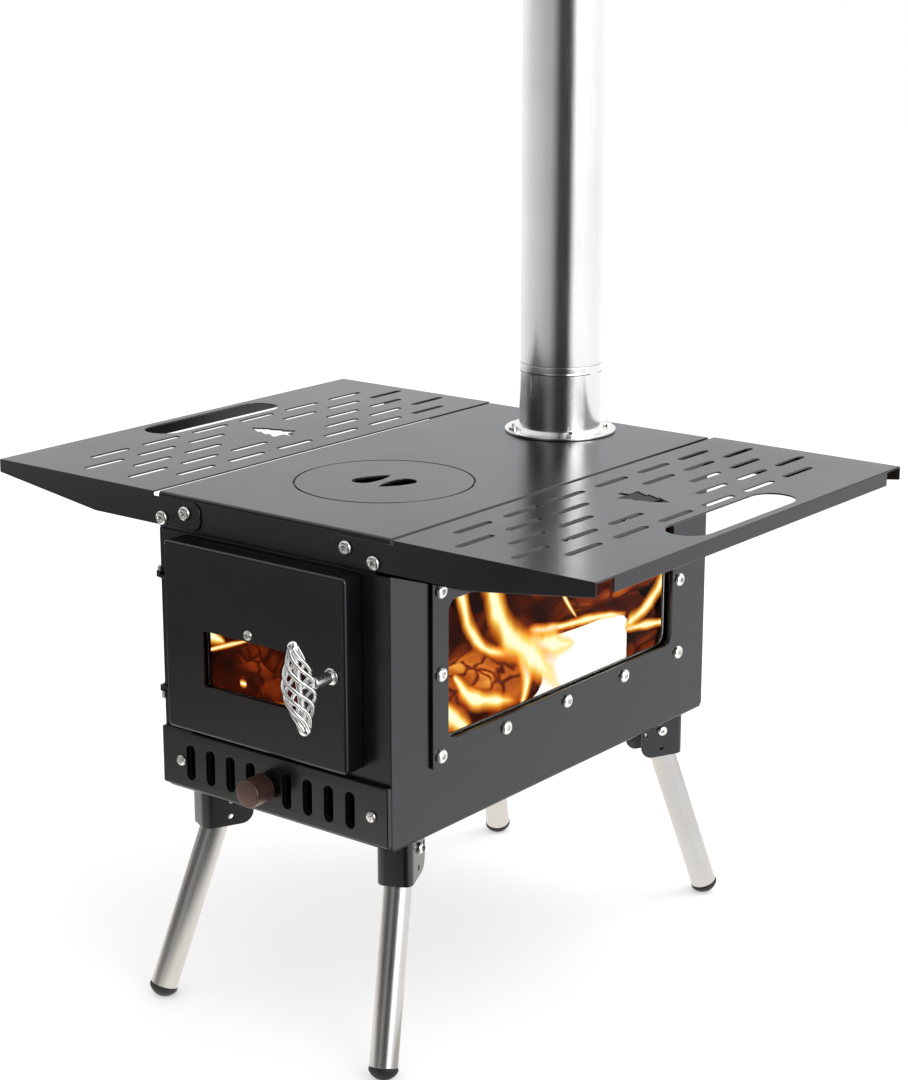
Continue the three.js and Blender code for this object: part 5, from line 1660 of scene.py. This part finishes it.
# ---------------------------------------------------------------- studio
@dataclass
class Studio:
    """The camera, the white surroundings, the floor and the lamps."""

    camera_place: Triple = (1.0011, -1.2504, 0.7409)
    camera_turn: Triple = (74.94, 0.0, 38.08)
    focal_px: float = 2369.47
    photo_height: float = 1080.0
    sensor: float = 36.0
    floor_size: float = 6.0
    floor_color: tuple[float, float, float, float] = (0.82, 0.82, 0.82, 1)
    floor_lift: float = 0.42
    daylight: float = 0.85
    lamp_drop: float = 0.3
    zone_reach: float = 2.3
    # Each lamp's place, power in watts and size.
    softboxes: tuple[tuple[Triple, float, float], ...] = (
        ((0.7, 0.9, 1.7), 9.0, 1.2), ((1.6, -0.5, 1.2), 5.0, 0.9))
    # Brightness that metal mirrors at a bearing from the camera in degrees, and on the floor at a distance in
    # metres.
    bearings: tuple[Point, ...] = (
        (-180, 0.84), (-136, 0.8), (-104, 0.64), (-66, 0.51), (-36, 0.37), (-13, 0.045), (18, 0.035), (34, 1.0),
        (60, 1.0), (104, 0.9), (150, 0.95), (180, 0.84))
    mirrored: float = 1.25
    zone: tuple[Point, ...] = ((0.0, 1.0), (0.48, 0.95), (0.6, 0.42), (0.8, 0.34), (1.0, 0.2), (1.2, 0.09),
                               (1.45, 0.02), (2.3, 0.02))
    zone_fade: Point = (1.52, 1.66)
    softbox: float = 3.4

    def camera(self) -> None:
        """Makes the camera at the photograph's viewing angle."""
        data = bpy.data.cameras.new("camera")
        data.sensor_width = self.sensor
        data.lens = self.focal_px * self.sensor / self.photo_height
        data.clip_start, data.clip_end = 0.01, 50
        holder = linked("camera", data)
        holder.location = self.camera_place
        holder.rotation_euler = [math.radians(a) for a in self.camera_turn]
        bpy.context.scene.camera = holder

    def surroundings(self, tree: ShaderNodes, vector: bpy.types.NodeSocket) -> bpy.types.NodeSocket:
        """Brightness of the studio by its bearing: white behind and at the right, dark at the camera.

        Args:
            tree: The node builder.
            vector: A direction or a place about the stove.

        Returns:
            A colour.
        """
        split = tree.node("ShaderNodeSeparateXYZ", {0: vector})
        across, towards = self.pointing(tree, split, 90), self.pointing(tree, split, 0)
        share = tree.ranged(tree.sum("ARCTAN2", across, towards), 0.0, 1.0, -math.pi, math.pi)
        stops = [((bearing + 180) / 360, (0.97 * v, 0.98 * v, v)) for bearing, v in self.bearings]
        return tree.ramp(share, stops)

    def pointing(self, tree: ShaderNodes, split: bpy.types.Node, bearing: float) -> bpy.types.NodeSocket:
        """How far a vector reaches towards a bearing in degrees, which counts from the camera to its right."""
        turn = math.radians(self.camera_turn[2] + bearing)
        return tree.sum("ADD", tree.sum("MULTIPLY", split.outputs[0], math.sin(turn)),
                        tree.sum("MULTIPLY", split.outputs[1], -math.cos(turn)))

    def extra(self, tree: ShaderNodes, split: bpy.types.Node) -> bpy.types.NodeSocket:
        """What a softbox at the right adds to the mirrored room, and a dark card at the left takes away.

        Args:
            tree: The node builder.
            split: The direction's three parts.

        Returns:
            The change of strength.
        """
        up = split.outputs[2]
        box = tree.ranged(self.pointing(tree, split, 90), 0.0, self.softbox, 0.4, 0.5)
        for edge in (tree.ranged(self.pointing(tree, split, 0), 0.0, 1.0, 0.3, 0.5),
                     tree.ranged(up, 0.0, 1.0, 0.04, 0.12), tree.ranged(up, 1.0, 0.0, 0.4, 0.55)):
            box = tree.sum("MULTIPLY", box, edge)
        card = tree.ranged(self.pointing(tree, split, -2 * self.camera_turn[2]), 0.0, 1.0, 0.72, 0.92)
        card = tree.sum("MULTIPLY", card, tree.ranged(up, 0.0, self.mirrored * 0.95, -0.01, 0.02))
        return tree.sum("SUBTRACT", box, card)

    def world(self) -> None:
        """Lights the scene evenly, and shows white to the camera."""
        world = bpy.data.worlds.new("studio")
        bpy.context.scene.world = world
        world.use_nodes = True
        tree = ShaderNodes(world.node_tree)
        tree.nodes.clear()
        where = tree.node("ShaderNodeTexCoord").outputs["Generated"]
        glossy = tree.node("ShaderNodeLightPath").outputs["Is Glossy Ray"]
        split = tree.node("ShaderNodeSeparateXYZ", {0: where})
        strength = tree.sum("ADD", self.extra(tree, split), self.mirrored)
        lights = ((self.surroundings(tree, where), strength), (WHITE, 1.0), (WHITE, self.daylight))
        room, white, light = (
            tree.node("ShaderNodeBackground", {"Color": color, "Strength": bright}).outputs[0]
            for color, bright in lights)
        bounced = tree.node("ShaderNodeMixShader", {0: glossy, 1: light, 2: room}).outputs[0]
        shown = tree.node("ShaderNodeMixShader", {0: tree.straight_sight(), 1: bounced, 2: white})
        tree.ends_in(shown.outputs[0], "ShaderNodeOutputWorld")

    def floor(self) -> None:
        """Lays a white floor that keeps the stove's shadow, with a dark zone that the front plate mirrors."""
        bm = bmesh.new()
        bmesh.ops.create_grid(bm, x_segments=1, y_segments=1, size=self.floor_size)
        floor = object_of("studio_floor", bm)
        tree = Glow("studio_floor")
        where = tree.node("ShaderNodeTexCoord").outputs["Object"]
        reach = tree.node("ShaderNodeVectorMath", {0: where}, operation="LENGTH").outputs["Value"]
        near = tree.ramp(tree.ranged(reach, 0.0, 1.0, 0.0, self.zone_reach),
                         [(metres / self.zone_reach, (v, 0.98 * v, 0.94 * v)) for metres, v in self.zone])
        faded = tree.ranged(reach, 0.0, 1.0, *self.zone_fade)
        card = tree.blend(faded, near, self.surroundings(tree, where))
        split = tree.node("ShaderNodeSeparateXYZ", {0: where})
        leftwards = tree.ranged(split.outputs[0], 0.0, 1.0, 0.25, 0.0)
        card = tree.blend(leftwards, self.surroundings(tree, where), card)
        diffuse = tree.node("ShaderNodeBsdfDiffuse", {"Color": self.floor_color}).outputs[0]
        lift = tree.node("ShaderNodeEmission", {"Color": WHITE, "Strength": self.floor_lift}).outputs[0]
        plain = tree.node("ShaderNodeAddShader", {0: diffuse, 1: lift}).outputs[0]
        mirrored = tree.node("ShaderNodeEmission", {"Color": card, "Strength": self.mirrored}).outputs[0]
        glossy = tree.node("ShaderNodeLightPath").outputs["Is Glossy Ray"]
        bounced = tree.node("ShaderNodeMixShader", {0: glossy, 1: diffuse, 2: mirrored}).outputs[0]
        shown = tree.node("ShaderNodeMixShader", {0: tree.straight_sight(), 1: bounced, 2: plain})
        tree.ends_in(shown.outputs[0])
        floor.data.materials.append(tree.material)
        floor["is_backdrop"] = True

    def lamps(self) -> None:
        """Hangs soft lamps over and beside the stove."""
        for i, (place, power, size) in enumerate(self.softboxes):
            lamp = bpy.data.lights.new(f"softbox_{i}", "AREA")
            lamp.energy, lamp.size = power, size
            holder = linked(f"softbox_{i}", lamp)
            holder.matrix_world = aimed(Vector(place), Vector(place) - self.lamp_drop * UP)

    def build(self) -> None:
        """Sets up the camera, the world, the floor and the lamps."""
        self.camera()
        self.world()
        self.floor()
        self.lamps()
        bpy.context.scene.view_settings.view_transform = "Standard"


def main() -> None:
    """Builds the stove's looks around the frame."""
    logging.basicConfig(level=logging.INFO, format="%(name)s: %(message)s")
    shop = Workshop()
    Studio().build()
    for assembly in (Firebox(), CookTop(), SideWindow(), Flue(), Door(), Handle(), AirControl(), Shelves()):
        assembly.build(shop)
    for name in ("front_left", "front_right", "back_left", "back_right"):
        Leg(name).build(shop)
    Fire().build()
    {"cad": [list(p) for p in shop.cad_box], "visual": [list(p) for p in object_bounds()]}


if __name__ == "__main__":
    main()
